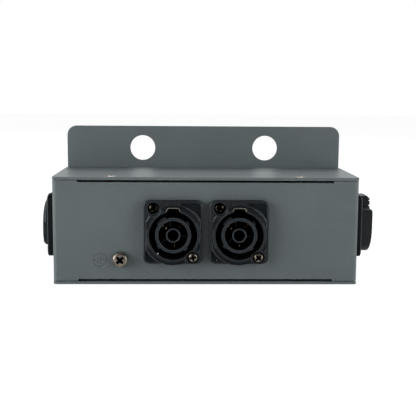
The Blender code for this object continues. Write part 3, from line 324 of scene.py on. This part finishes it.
body = eased("folded_body", "body_shell", CASE_EASE, (coat, coat_thin_and_bend_highlight), reshape=settled_edges)
stands_for(body, "powder_coated_steel", "body_shell")
# Bend faces that lean up or down towards the front take the paler coat as a painted highlight of the light
# falling on them
for face in body.data.polygons:
    if face.normal.y < LIT_BEND_FRONT and LIT_BEND_LEAN[0] < abs(face.normal.z) < LIT_BEND_LEAN[1]:
        face.material_index = 1
cover = eased("bent_cover", "wrap_cover", CASE_EASE, (coat, coat_thin_and_bend_highlight), reshape=thickened_sheets)
stands_for(cover, "powder_coated_steel", "wrap_cover")
plate = eased("rear_plate", "hanging_plate", CASE_EASE, (coat, coat_thin_and_bend_highlight))
stands_for(plate, "powder_coated_steel", "hanging_plate")


# The earth sign beside the earth screw, turned a quarter: a ring, a stem and three upright bars.
# It was stamped lightly into the steel before coating. It is drawn flat, its lines in a painted
# shade of the groove, with a painted highlight arc where the ring's lower right wall catches the
# light, and three bright flecks.
SIGN_X = -0.0513
SIGN_Z = 0.0120
SIGN_RADIUS = 0.0033
SIGN_LINE = 0.0004
SIGN_STEPS = 48
SIGN_BARS = ((-0.0022, 0.0007), (-0.0009, 0.0014), (0.0004, 0.0020))
STEM_END = 0.0024
LIT_ARC = (0.0003, 0.0006)
BRIGHT_FLECKS = ((0.0012, -0.0007, 0.00028), (-0.0025, -0.0010, 0.00022), (0.0009, -0.0019, 0.0002))
SUNK = 0.0001
LINE_LIFT = 0.00003
BRIGHT_LIFT = 0.00002
EIGHTHS = [i * math.pi / 4 for i in range(8)]


def slab(bm, low_ring, high_ring):
    """A closed thin slab between two rings of points."""
    rings = [[bm.verts.new(point) for point in ring] for ring in (low_ring, high_ring)]
    for face in rings:
        bm.faces.new(face)
    for i in range(len(low_ring)):
        j = (i + 1) % len(low_ring)
        bm.faces.new((rings[0][i], rings[0][j], rings[1][j], rings[1][i]))


def on_panel(outline, lift):
    """Two rings of points about the sign's centre, one in the panel and one just off it."""
    return [[(SIGN_X + x, front_y - level, SIGN_Z + z) for x, z in outline] for level in (-SUNK, lift)]


def hoop(bm, radius, lift):
    """A closed flat ring of the sign's line width on the panel."""
    turns = [2 * math.pi * i / SIGN_STEPS for i in range(SIGN_STEPS)]
    rings = []
    for edge in (radius - SIGN_LINE / 2, radius + SIGN_LINE / 2):
        rings += on_panel([(edge * math.cos(a), edge * math.sin(a)) for a in turns], lift)
    inner_low, inner_high, outer_low, outer_high = [[bm.verts.new(point) for point in ring] for ring in rings]
    around = (inner_low, inner_high, outer_high, outer_low)
    for a, b in zip(around, around[1:] + around[:1]):
        for i in range(SIGN_STEPS):
            j = (i + 1) % SIGN_STEPS
            bm.faces.new((a[i], a[j], b[j], b[i]))


def shut(bm, name):
    """A mesh with its faces turned outwards, linked to the scene as an object."""
    bmesh.ops.recalc_face_normals(bm, faces=bm.faces)
    mesh = bpy.data.meshes.new(name)
    bm.to_mesh(mesh)
    bm.free()
    made = bpy.data.objects.new(name, mesh)
    scene.collection.objects.link(made)
    return made


def sign_flecks():
    """A painted highlight arc at the ring's lower right, where its groove catches the light, and three
    brighter flecks.
    """
    bm = bmesh.new()
    inner, outer = (SIGN_RADIUS + step for step in LIT_ARC)
    turns = [math.radians(a) for a in range(-80, -14, 6)]
    rim = [(math.cos(a) * outer, math.sin(a) * outer) for a in turns]
    rim += [(math.cos(a) * inner, math.sin(a) * inner) for a in reversed(turns)]
    slab(bm, *on_panel(rim, BRIGHT_LIFT))
    for x, z, size in BRIGHT_FLECKS:
        slab(bm, *on_panel([(x + size * math.cos(a), z + size * math.sin(a)) for a in EIGHTHS], BRIGHT_LIFT))
    return shut(bm, "sign_flecks")


def earth_sign():
    """Ring, bars and stem as thin lines on the front panel."""
    bm = bmesh.new()
    half = SIGN_LINE / 2
    hoop(bm, SIGN_RADIUS, LINE_LIFT)
    for x, reach in SIGN_BARS:
        bar = [(x - half, -reach), (x + half, -reach), (x + half, reach), (x - half, reach)]
        slab(bm, *on_panel(bar, LINE_LIFT))
    foot = SIGN_BARS[-1][0] + half
    stem = [(foot, -half), (STEM_END, -half), (STEM_END, half), (foot, half)]
    slab(bm, *on_panel(stem, LINE_LIFT))
    return shut(bm, "earth_sign")


# A paler coat as the ring's painted highlight arc and bright flecks, and a darker coat as the pressed lines'
# painted shade
flecks = sign_flecks()
flecks.data.materials.append(powder_coat("grey powder coat, painted highlight and bright flecks", "#86908f", "#97a2a1", 0.35))
stands_for(flecks, "powder_coated_steel")
sign = earth_sign()
sign.data.materials.append(powder_coat("grey powder coat, painted shade of pressed line", "#474f51", "#545c5e", 0.5))
stands_for(sign, "powder_coated_steel")


# The connectors' mouldings: housings with flange and collar, keyed barrels and the inlet's pin
# carrier, injection moulded in glass-filled nylon. Outer faces are spark-eroded to a satin grain;
# bores, pockets, flange sides and collar slopes are rougher, and darker as painted shade, and
# edges and the collar's lip are paler as painted highlights.
def nylon(name, base, light, rough, specular=0.3):
    """Moulded nylon: a fine eroded grain and faint flow marks."""
    grain_mm, flow_mm = 0.385, 4.17
    made, out = blank_material(name)
    tree = made.node_tree
    place = add(tree, "ShaderNodeTexCoord").outputs["Object"]
    grain = add(tree, "ShaderNodeTexNoise", {"Vector": place, "Scale": 1000 / grain_mm, "Detail": 2.0,
                                             "Roughness": 0.65})
    flow = add(tree, "ShaderNodeTexNoise", {"Vector": place, "Scale": 1000 / flow_mm, "Detail": 4.0,
                                            "Roughness": 0.6, "Distortion": 0.8})
    ramp = add(tree, "ShaderNodeMapRange", {"Value": flow.outputs[0], "From Min": 0.3, "From Max": 0.7})
    colour = add(tree, "ShaderNodeMix", {"Factor": ramp.outputs[0], "A": linear(base), "B": linear(light)},
                 data_type="RGBA")
    gloss = add(tree, "ShaderNodeMapRange", {"Value": flow.outputs[0], "From Min": 0.3, "From Max": 0.7,
                                             "To Min": rough - 0.05, "To Max": rough + 0.07})
    bump = add(tree, "ShaderNodeBump", {"Height": grain.outputs[0], "Strength": 0.3, "Distance": 0.00003})
    shader = add(tree, "ShaderNodeBsdfPrincipled", {"Base Color": colour.outputs["Result"],
                                                   "Roughness": gloss.outputs[0],
                                                   "Normal": bump.outputs[0], "IOR": 1.53,
                                                   "Specular IOR Level": specular})
    tree.links.new(shader.outputs[0], out.inputs["Surface"])
    return made


# Satin black faces, painted shade on pockets, slopes and bores, and painted highlights as pale thin lines on
# edges and the collar's lip
moulding = nylon("black glass-filled nylon", "#14181c", "#1a1f24", 0.45)
moulding_shaded = nylon("black nylon, painted shade on pockets and slopes", "#0d1114", "#141a1e", 0.65, 0.12)
moulding_bore_shade = nylon("black nylon, painted shade in bores", "#030304", "#060607", 0.9, 0.05)
moulding_edge_highlight = nylon("black nylon, painted edge highlight", "#394046", "#444c52", 0.4, 0.45)
moulding_insert = nylon("black nylon, smooth insert", "#1e2429", "#252b30", 0.42)
moulding_lip_highlight = nylon("black nylon, painted lip highlight", "#687076", "#757d83", 0.4, 0.45)
finishes = (moulding_shaded, moulding_bore_shade, moulding_lip_highlight, moulding, moulding_edge_highlight)
SHADED, BORE_SHADE, LIP_HIGHLIGHT, PLAIN, EDGE_HIGHLIGHT = 1, 2, 3, 4, 5
FACING = {
    "outlet_front_left": (0, -1, 0),
    "outlet_front_right": (0, -1, 0),
    "outlet_side": (-1, 0, 0),
    "inlet": (1, 0, 0),
}
INSERTS = {name: "pin_carrier" if name == "inlet" else "barrel" for name in FACING}
MOULDING_EASE = 0.00014
MOULDING_LIMIT = 38
# Levels off the wall
WEB_FACE = 0.0
LATCH_FLOOR = 0.0023
KEY_FACE = 0.0040
SHALLOW_FLOOR = 0.0043
FLANGE_FACE = 0.0047
COLLAR_SHOULDER = 0.0056
LIP_LEVELS = (0.0052, 0.00575)
# Distances from the connector's axis
BORE_REACH = 0.0142
BRIDGE_FOOT = 0.0125
BRIDGE_SPREAD = 0.0018
SLOPE_AREA = 0.0000008
# The barrel rings' worn radii, and where the collar sinks and by how much
RING_OUTER = (0.0088, 0.00862)
RING_INNER = (0.00695, 0.00712)
SAME_RADIUS = 0.00006
TILT_START = 0.008
TILT_END = 0.0072
COLLAR_TILT = 0.165


def reach_along(node, out):
    """How far a CAD node reaches in a direction."""
    low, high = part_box(node)
    return ((low + high) / 2).dot(out) + abs((high - low).dot(out)) / 2


def connector_axis(connector):
    """A point on a connector's axis, and its outward direction."""
    low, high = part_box(f"{connector}_{INSERTS[connector]}")
    return (low + high) / 2, Vector(FACING[connector])


def insert_finish(face, lift, facing):
    """The finish of an insert's face: its rings keep the insert's nylon, and its webs take the darker plain
    nylon and its wells a near-black one, as painted shade deep in the barrel.
    """
    if lift < KEY_FACE or facing < 0.2:
        return PLAIN if lift > WEB_FACE and facing > 0.5 else BORE_SHADE
    return face.material_index


def housing_finish(face, radial, lift, facing, sideways):
    """The finish of a housing's face, from where it stands and how it lies: painted shade in bores, on flange
    sides, pocket floors, the side connectors' tops and collar slopes, a painted highlight on edges at the
    lip, and none on edges by the bridge and low down.
    """
    # Edge faces carry the paler nylon as a painted highlight
    lit_edge = face.material_index == EDGE_HIGHLIGHT
    if facing < 0.6 and radial.length < BORE_REACH and face.normal.dot(radial) < 0:
        return BORE_SHADE
    if facing < 0.3 and lift < FLANGE_FACE:
        return BORE_SHADE if sideways and face.normal.z > 0.7 else SHADED
    if facing > 0.6 and lift < SHALLOW_FLOOR:
        return BORE_SHADE if lift < LATCH_FLOOR else SHADED
    if lit_edge and radial.z > BRIDGE_FOOT and radial.length - radial.z < BRIDGE_SPREAD:
        return PLAIN
    if lit_edge and LIP_LEVELS[0] < lift < LIP_LEVELS[1]:
        return LIP_HIGHLIGHT
    if lit_edge and lift < LIP_LEVELS[0] and radial.z < 0:
        return PLAIN
    if lift > COLLAR_SHOULDER and 0.2 < facing < 0.93 and face.area > SLOPE_AREA:
        return SHADED
    return face.material_index


def finish_faces(piece, connector, is_insert):
    """Gives each face of a moulding the finish that its place has."""
    middle, out = connector_axis(connector)
    wall = reach_along("body_shell", out)
    for face in piece.data.polygons:
        offset = face.center - middle
        radial = offset - out * offset.dot(out)
        lift = face.center.dot(out) - wall
        facing = face.normal.dot(out)
        if is_insert:
            face.material_index = insert_finish(face, lift, facing)
        else:
            face.material_index = housing_finish(face, radial, lift, facing, out.y == 0)


def worn_shape(connector, is_insert):
    """The outlets' small departures: slimmer barrel rings, and a collar that sinks near its lower screw."""
    middle, out = connector_axis(connector)
    side = Vector((0, 0, 1)).cross(out)
    wall = reach_along("body_shell", out)

    def shift(bm):
        for vertex in bm.verts:
            offset = vertex.co - middle
            radial = offset - out * offset.dot(out)
            lift = vertex.co.dot(out) - wall
            if is_insert:
                for old, new in (RING_OUTER, RING_INNER):
                    if abs(radial.length - old) < SAME_RADIUS:
                        vertex.co += radial * (new / old - 1)
            elif lift > FLANGE_FACE and radial.z < -TILT_START and 0 < radial.dot(side) < TILT_END:
                vertex.co -= out * min(COLLAR_TILT * radial.dot(side), lift - FLANGE_FACE)

    return shift


for connector, insert in INSERTS.items():
    for part, front in (("housing", moulding), (insert, moulding_insert)):
        node = f"{connector}_{part}"
        is_insert = part == insert
        reshape = None if connector == "inlet" else worn_shape(connector, is_insert)
        piece = eased(f"moulded_{node}", node, MOULDING_EASE, (front, *finishes), MOULDING_LIMIT, reshape)
        finish_faces(piece, connector, is_insert)
        stands_for(piece, "black_nylon", node)


# The gaskets under the four flanges, die-cut from 1 mm black rubber sheet and squeezed by the
# flange screws. Only their matt rims show.
RUBBER_GRAIN_MM = 0.667
rubber, rubber_out = blank_material("black gasket rubber")
tree = rubber.node_tree
place = add(tree, "ShaderNodeTexCoord").outputs["Object"]
grain = add(tree, "ShaderNodeTexNoise", {"Vector": place, "Scale": 1000 / RUBBER_GRAIN_MM})
bump = add(tree, "ShaderNodeBump", {"Height": grain.outputs[0], "Strength": 0.4, "Distance": 0.00004})
shader = add(tree, "ShaderNodeBsdfPrincipled", {"Base Color": linear("#121314"), "Roughness": 0.75,
                                               "Normal": bump.outputs[0]})
tree.links.new(shader.outputs[0], rubber_out.inputs["Surface"])
for connector in FACING:
    nodes[f"{connector}_gasket"].data.materials[0] = rubber


# The metal in the connectors: forked contacts and pins of brass with a gold flash, pressed from
# the back into their wells, and latch strips of nickelled spring steel held in their slots.
def plated(name, base, dark, rough, recess_dark=None):
    """Plated metal with fine rub marks and a darker tarnish; an attribute blackens the faces in a recess."""
    rub_mm, stain_mm = 0.3, 2.38
    made, out = blank_material(name)
    tree = made.node_tree
    place = add(tree, "ShaderNodeTexCoord").outputs["Object"]
    rub = add(tree, "ShaderNodeTexNoise", {"Vector": place, "Scale": 1000 / rub_mm, "Detail": 3.0,
                                           "Roughness": 0.7})
    stain = add(tree, "ShaderNodeTexNoise", {"Vector": place, "Scale": 1000 / stain_mm, "Detail": 3.0})
    ramp = add(tree, "ShaderNodeMapRange", {"Value": stain.outputs[0], "From Min": 0.4, "From Max": 0.68})
    colour = add(tree, "ShaderNodeMix", {"Factor": ramp.outputs[0], "A": linear(base), "B": linear(dark)},
                 data_type="RGBA")
    gloss = add(tree, "ShaderNodeMapRange", {"Value": rub.outputs[0], "From Min": 0.3, "From Max": 0.7,
                                             "To Min": rough - 0.06, "To Max": rough + 0.1})
    if recess_dark:
        black = add(tree, "ShaderNodeAttribute", attribute_name="recess_dark")
        colour = add(tree, "ShaderNodeMix", {"Factor": black.outputs["Fac"], "A": colour.outputs["Result"],
                                             "B": linear(recess_dark)}, data_type="RGBA")
    bump = add(tree, "ShaderNodeBump", {"Height": rub.outputs[0], "Strength": 0.15, "Distance": 0.00002})
    shader = add(tree, "ShaderNodeBsdfPrincipled", {"Base Color": colour.outputs["Result"], "Metallic": 1.0,
                                                   "Roughness": gloss.outputs[0],
                                                   "Normal": bump.outputs[0]})
    tree.links.new(shader.outputs[0], out.inputs["Surface"])
    return made


# Bright warm gold, the same gold darkened to brown as a painted shade that dims the neutral contacts' glints,
# and a pale grey spring steel
gold = plated("gold flash over brass", "#fbe2ba", "#ecc792", 0.22)
gold_in_shade = plated("gold flash over brass, painted shade", "#a98046", "#3d2c18", 0.45)
latch_nickel = plated("nickelled spring steel", "#b5afa6", "#948c82", 0.32)
LATCH_SHEET = 0.00027
LATCH_RISE = 0.0004
LATCH_CORNER = 0.0014
CONTACT_EASE = 0.00006
TIP_BAND = 0.0002
TIP_TILT = {"line": (0, 11), "neutral": (0, 8), "earth": (11, 8)}


def latch_arch(connector):
    """The latch plate as a bent strip with round corners, along the connector's axis."""
    node = f"{connector}_latch_plate"
    low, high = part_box(node)
    middle = (low + high) / 2
    out = Vector(FACING[connector])
    side = Vector((0, 0, 1)).cross(out)
    half = abs((high - low).dot(side)) / 2
    reach = abs((high - low).dot(out)) / 2
    outline = []
    for inset, order in ((0, 1), (LATCH_SHEET, -1)):
        radius = LATCH_CORNER - inset
        path = [(half - inset, low.z - middle.z + LATCH_RISE)]
        path += [(half - LATCH_CORNER + radius * math.cos(a),
                  high.z - middle.z - LATCH_CORNER + radius * math.sin(a))
                 for a in (i * math.pi / 16 for i in range(9))]
        path += [(-u, w) for u, w in reversed(path)]
        outline += path[::order]
    bm = bmesh.new()
    slab(bm, *[[middle + side * u + Vector((0, 0, w)) + out * level for u, w in outline]
               for level in (-reach, reach)])
    piece = shut(bm, f"bright_{node}")
    piece.data.shade_smooth()
    piece.data.set_sharp_from_angle(angle=math.radians(35))
    piece.data.materials.append(latch_nickel)
    return piece


def sprung_tips(connector, conductor, node):
    """The fork's tips ground to a slant, the inner prong's and the outer one's."""
    middle, out = connector_axis(connector)
    end = reach_along(node, out)

    def shift(bm):
        tips = [vertex for vertex in bm.verts if end - vertex.co.dot(out) < TIP_BAND]
        offsets = [vertex.co - middle for vertex in tips]
        spans = [(offset - out * offset.dot(out)).length for offset in offsets]
        split = (min(spans) + max(spans)) / 2
        for outer, degrees in enumerate(TIP_TILT[conductor]):
            prong = [vertex for vertex, span in zip(tips, spans) if (span > split) == bool(outer)]
            base = min(vertex.co.z for vertex in prong)
            for vertex in prong:
                vertex.co -= out * (vertex.co.z - base) * math.tan(math.radians(degrees))

    return shift


for connector in FACING:
    kind = "pin" if connector == "inlet" else "contact"
    # The neutral contacts take the darker gold, a painted shade that dims their glints
    for conductor, finish in (("line", gold), ("neutral", gold_in_shade), ("earth", gold)):
        node = f"{connector}_{conductor}_{kind}"
        reshape = None if connector == "inlet" else sprung_tips(connector, conductor, node)
        contact = eased(f"gilded_{node}", node, CONTACT_EASE, (finish,), reshape=reshape)
        stands_for(contact, "gold_plated_contact", node)
    stands_for(latch_arch(connector), "nickel_plated_steel", f"{connector}_latch_plate")


# The screws: cold-headed steel with a cross recess, nickel plated and tarnished warm; those at
# the top of the flanges are drawn nearly black, as painted shade. Pan heads hold the flanges,
# and countersunk ones the cover and the plate. The two in the top sheet stand a little proud.
HEAD_STEPS = 32
RECESS_WING = 0.27
RECESS_THROAT = 1.25
RECESS_FLARE = 1.12
RECESS_TAPER = 0.52
RECESS_RISE = 0.0004
HEAD_EASE = 0.00006
RECESS_DARK_REACH = 1.15
RECESS_DARK_FLOOR = 0.8


def turned_blank(name, profile, steps):
    """A headed blank about Z from its half profile."""
    bm = bmesh.new()
    turns = [2 * math.pi * i / steps for i in range(steps)]
    rings = [[bm.verts.new((r * math.cos(a), r * math.sin(a), z)) for a in turns] for r, z in profile]
    for a, b in zip(rings, rings[1:]):
        for i in range(steps):
            j = (i + 1) % steps
            bm.faces.new((a[i], a[j], b[j], b[i]))
    bm.faces.new(rings[0])
    bm.faces.new(rings[-1])
    return shut(bm, name)


def cross_punch(recess, high, low):
    """The tapered cross that is driven into a head."""
    wing = recess * RECESS_WING
    throat = wing * RECESS_THROAT
    outline = []
    for quarter in range(4):
        turn = quarter * math.pi / 2
        for x, y in ((recess, -wing), (recess, wing), (throat, throat)):
            outline.append((x * math.cos(turn) - y * math.sin(turn), x * math.sin(turn) + y * math.cos(turn)))
    bm = bmesh.new()
    slab(bm, *[[(x * scale, y * scale, z) for x, y in outline]
               for z, scale in ((high, RECESS_FLARE), (low, RECESS_TAPER))])
    return shut(bm, "cross_punch")


def cross_screw(name, profile, recess, depth, steps=HEAD_STEPS):
    """A screw about Z with a cross recess, whose faces an attribute marks to be drawn near-black."""
    top = profile[0][1]
    blank = turned_blank(name, profile, steps)
    punch = cross_punch(recess, top + RECESS_RISE, top - depth)
    cut = blank.modifiers.new("recess", "BOOLEAN")
    cut.operation = "DIFFERENCE"
    cut.object = punch
    ease = blank.modifiers.new("ease", "BEVEL")
    ease.width = HEAD_EASE
    ease.segments = 1
    ease.limit_method = "ANGLE"
    ease.angle_limit = math.radians(35)
    made = bpy.data.meshes.new_from_object(blank.evaluated_get(bpy.context.evaluated_depsgraph_get()))
    bpy.data.objects.remove(punch, do_unlink=True)
    bpy.data.objects.remove(blank, do_unlink=True)
    made.shade_smooth()
    made.set_sharp_from_angle(angle=math.radians(38))
    # Faces in and around the cross recess are marked to be drawn near-black
    recess_dark = made.attributes.new("recess_dark", "FLOAT", "FACE")
    for face in made.polygons:
        near = math.hypot(face.center.x, face.center.y) < recess * RECESS_DARK_REACH
        deep = abs(face.normal.z) < 0.7 or face.center.z < top - depth * RECESS_DARK_FLOOR
        recess_dark.data[face.index].value = 1.0 if near and deep else 0.0
    return bpy.data.objects.new(name, made)


def screw_tree():
    """Geometry nodes that put one screw at each point, along its direction and turned about it."""
    group = bpy.data.node_groups.new("screws at points", "GeometryNodeTree")
    face = group.interface
    face.new_socket("Geometry", in_out="INPUT", socket_type="NodeSocketGeometry")
    face.new_socket("Screw", in_out="INPUT", socket_type="NodeSocketObject")
    face.new_socket("Size", in_out="INPUT", socket_type="NodeSocketFloat").default_value = 1.0
    face.new_socket("Finish", in_out="INPUT", socket_type="NodeSocketMaterial")
    face.new_socket("Geometry", in_out="OUTPUT", socket_type="NodeSocketGeometry")
    given = add(group, "NodeGroupInput").outputs
    outward = add(group, "GeometryNodeInputNamedAttribute", {"Name": "outward"}, data_type="FLOAT_VECTOR")
    turn = add(group, "GeometryNodeInputNamedAttribute", {"Name": "turn"}, data_type="FLOAT")
    aligned = add(group, "FunctionNodeAlignRotationToVector", {"Vector": outward.outputs["Attribute"]},
                  axis="Z")
    spin = add(group, "FunctionNodeAxisAngleToRotation", {"Axis": (0, 0, 1),
                                                          "Angle": turn.outputs["Attribute"]})
    turned = add(group, "FunctionNodeRotateRotation", {"Rotation": aligned.outputs[0],
                                                       "Rotate By": spin.outputs[0]}, rotation_space="LOCAL")
    screw = add(group, "GeometryNodeObjectInfo", {"Object": given["Screw"]})
    copies = add(group, "GeometryNodeInstanceOnPoints", {"Points": given["Geometry"],
                                                         "Instance": screw.outputs["Geometry"],
                                                         "Rotation": turned.outputs[0],
                                                         "Scale": given["Size"]})
    real = add(group, "GeometryNodeRealizeInstances", {0: copies.outputs[0]})
    finish = add(group, "GeometryNodeSetMaterial", {"Geometry": real.outputs[0], "Material": given["Finish"]})
    add(group, "NodeGroupOutput", {0: finish.outputs[0]})
    return group


SCREWS_AT_POINTS = screw_tree()


def fastened(name, screw, spots, material):
    """One mesh of all the screws of a kind; a spot is a place, a direction and a turn in degrees."""
    points = bpy.data.meshes.new(name)
    points.from_pydata([place for place, _, _ in spots], [], [])
    points.attributes.new("outward", "FLOAT_VECTOR", "POINT")
    points.attributes.new("turn", "FLOAT", "POINT")
    for i, (_, outward, degrees) in enumerate(spots):
        points.attributes["outward"].data[i].vector = outward
        points.attributes["turn"].data[i].value = math.radians(degrees)
    scene.collection.objects.link(screw)
    holder = bpy.data.objects.new(name, points)
    scene.collection.objects.link(holder)
    placing = holder.modifiers.new("screws", "NODES")
    placing.node_group = SCREWS_AT_POINTS
    given = [item for item in SCREWS_AT_POINTS.interface.items_tree if item.in_out == "INPUT"]
    sockets = {item.name: item.identifier for item in given}
    placing[sockets["Screw"]] = screw
    placing[sockets["Size"]] = 1.0
    placing[sockets["Finish"]] = material
    made = bpy.data.meshes.new_from_object(holder.evaluated_get(bpy.context.evaluated_depsgraph_get()))
    bpy.data.objects.remove(holder, do_unlink=True)
    bpy.data.objects.remove(screw, do_unlink=True)
    piece = bpy.data.objects.new(name, made)
    scene.collection.objects.link(piece)
    return piece


def node_end(node, outward):
    """The centre of the outer end of a CAD node, along an axis."""
    low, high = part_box(node)
    out = Vector(outward)
    return (low + high) / 2 + out * (abs((high - low).dot(out)) / 2)


# Beige nickel with dull patches, and the same nickel painted nearly black as shade, which only glints at its
# rim
warm_nickel = plated("tarnished nickel plate", "#9d958b", "#6a6158", 0.33, recess_dark="#050404")
nickel_in_shade = plated("nickel plate, painted shade", "#3f3b33", "#100f0d", 0.2, recess_dark="#030303")
PAN_PROFILE = [(0.0009, 0.0), (0.0017, -0.0002), (0.00225, -0.0006), (0.00248, -0.0012),
               (0.0025, -0.0019), (0.00145, -0.0019), (0.00145, -0.006)]
PAN_RECESS = 0.0019
PAN_DEPTH = 0.0012
FLAT_PROFILE = [(0.0024, 0.0), (0.0025, -0.0001), (0.00145, -0.00115), (0.00145, -0.006)]
FLAT_RECESS = 0.0015
DOME_PROFILE = [(0.0008, 0.0004), (0.0014, 0.00034), (0.0019, 0.00022), (0.0023, 0.00006),
                (0.0025, -0.0001), (0.00145, -0.00115), (0.00145, -0.006)]
DOME_RECESS = 0.0019
COUNTERSUNK_DEPTH = 0.0009
ABOVE, BELOW, REARWARD = (0, 0, 1), (0, 0, -1), (0, 1, 0)

# The upper screws take the nickel in painted shade
for level, finish, turns in (("upper", nickel_in_shade, (25, 70, 5, 35)),
                             ("lower", warm_nickel, (12, 42, 60, 80))):
    pan_screw = cross_screw("pan_screw", PAN_PROFILE, PAN_RECESS, PAN_DEPTH)
    cad_screws = [f"{connector}_screw_{level}" for connector in FACING]
    spots = [(node_end(node, outward), outward, turn)
             for node, outward, turn in zip(cad_screws, FACING.values(), turns)]
    flange_screws = fastened(f"flange_screws_{level}", pan_screw, spots, finish)
    stands_for(flange_screws, "nickel_plated_steel", *cad_screws)

proud = [("cover_screw_top_left", ABOVE, 20), ("cover_screw_top_right", ABOVE, 65)]
flush = [("cover_screw_bottom_left", BELOW, 20), ("cover_screw_bottom_right", BELOW, 65)]
flush += [(f"plate_screw_{number}", REARWARD, turn) for number, turn in ((1, 10), (2, 50), (3, 33), (4, 75))]
for name, profile, recess, screws in (
    ("raised_countersunk_screws", DOME_PROFILE, DOME_RECESS, proud),
    ("countersunk_screws", FLAT_PROFILE, FLAT_RECESS, flush),
):
    countersunk = cross_screw("countersunk_screw", profile, recess, COUNTERSUNK_DEPTH)
    spots = [(node_end(node, outward), outward, turn) for node, outward, turn in screws]
    stands_for(fastened(name, countersunk, spots, warm_nickel), "nickel_plated_steel",
               *[node for node, _, _ in screws])


# The earth terminal: a larger nickel-plated pan-head screw that turns out of its nut, a plain
# washer under its head, and the lock washer and nut behind the panel, all three zinc plated.
EARTH_PROFILE = [(0.0022, 0.0), (0.0029, -0.00012), (0.0034, -0.00045), (0.00372, -0.00105),
                 (0.00382, -0.0018), (0.00382, -0.0024), (0.0019, -0.0024), (0.0019, -0.0164)]
EARTH_RECESS = 0.0022
EARTH_DEPTH = 0.0017
EARTH_STEPS = 48
EARTH_TURN = 45
FORWARD = (0, -1, 0)
WASHER_EASE = 0.00008
earth_head = cross_screw("earth_head", EARTH_PROFILE, EARTH_RECESS, EARTH_DEPTH, EARTH_STEPS)
spots = [(node_end("earth_screw", FORWARD), FORWARD, EARTH_TURN)]
earth = fastened("earth_screw_dressed", earth_head, spots, warm_nickel)
stands_for(earth, "nickel_plated_steel", "earth_screw", body="earth_screw")
# Zinc: a cool pale grey with a soft blurred shine
zinc = plated("bright zinc plate", "#c9c9c4", "#8f8f8a", 0.35)
washer = eased("earth_washer_dressed", "earth_washer", WASHER_EASE, (zinc,))
stands_for(washer, "zinc_plated_steel", "earth_washer", body="earth_washer")
for node in ("earth_lock_washer", "earth_nut"):
    nodes[node].data.materials[0] = zinc


# Dust from storage: small pale specks of grit on the sheets and on the right flange, lying loose
# and sunk a little in the coat, and a white fleck sunk into the rim of the left outlet's bore as a
# painted highlight where the rim glints.
SPECKS = (
    ((-0.06475, -0.0205, 0.0525), ABOVE, 0.0003),
    ((-0.0618, -0.0252, 0.0525), ABOVE, 0.00025),
    ((-0.0421, -0.0022, 0.0525), ABOVE, 0.0004),
    ((0.0302, 0.0085, 0.0525), ABOVE, 0.0003),
    ((0.0660, -0.02725, 0.03375), FORWARD, 0.0002),
    ((-0.0319, -0.02725, 0.0279), FORWARD, 0.00022),
    ((0.0128, -0.02725, 0.0426), FORWARD, 0.00024),
    ((0.0052, -0.03185, 0.0130), FORWARD, 0.00024),
)
# A white fleck standing for a glint on the bore's rim: a painted highlight
RIM_GLINT = ((-0.0231, -0.0340, 0.0165), FORWARD, 0.00036)
SPECK_SHAPE = 0.7


def scattered(name, specks, finish):
    """Thin eight-sided specks, each at a place, along a direction and of a size."""
    bm = bmesh.new()
    for place, outward, size in specks:
        out = Vector(outward)
        across = out.orthogonal().normalized() * size
        along = out.cross(across) * SPECK_SHAPE
        slab(bm, *[[Vector(place) + out * lift + across * math.cos(a) + along * math.sin(a) for a in EIGHTHS]
                   for lift in (-SUNK, LINE_LIFT)])
    made = shut(bm, name)
    made.data.materials.append(finish)
    stands_for(made, "powder_coated_steel")


# Grey grit that hardly shows, and a white fleck as a painted highlight on the bore's rim
scattered("dust_specks", SPECKS, powder_coat("pale dust", "#a4adad", "#b6bebe", 0.6))
scattered("rim_chip", (RIM_GLINT,), powder_coat("white fleck, painted highlight", "#d9dde0", "#e4e8ea", 0.6))


# The wiring inside: stranded copper in extruded covers, crimped into receptacles and rings. Brown
# is line, blue neutral, and green with a yellow stripe earth. It shows only through an open case.
def wire_cover(name, base, stripe=None):
    """Extruded wire cover, slightly waxy, with a stripe across it where it has one."""
    mottle_mm, stripe_mm = 1.11, 6.98
    made, out = blank_material(name)
    tree = made.node_tree
    place = add(tree, "ShaderNodeTexCoord").outputs["Object"]
    mottle = add(tree, "ShaderNodeTexNoise", {"Vector": place, "Scale": 1000 / mottle_mm, "Detail": 2.0})
    colour = add(tree, "ShaderNodeMix", {"Factor": mottle.outputs[0], "A": linear(base),
                                         "B": linear(stripe or base)}, data_type="RGBA")
    if stripe:
        # Diagonal waves of scale 1 repeat every pi / 5 along an axis
        wave = add(tree, "ShaderNodeTexWave", {"Vector": place, "Scale": math.pi / 5 * 1000 / stripe_mm},
                   bands_direction="DIAGONAL")
        band = add(tree, "ShaderNodeMath", {0: wave.outputs["Fac"], 1: 0.6}, operation="GREATER_THAN")
        tree.links.new(band.outputs[0], colour.inputs["Factor"])
    shader = add(tree, "ShaderNodeBsdfPrincipled", {"Base Color": colour.outputs["Result"],
                                                   "Roughness": 0.45})
    tree.links.new(shader.outputs[0], out.inputs["Surface"])
    return made


nodes["line_harness"].data.materials[0] = wire_cover("brown wire cover", "#5a3018")
nodes["neutral_harness"].data.materials[0] = wire_cover("blue wire cover", "#1d4f9c")
earth_cover = wire_cover("green and yellow wire cover", "#2f8a3a", "#d8c92e")
for node in ("earth_harness", "earth_lead_side"):
    nodes[node].data.materials[0] = earth_cover
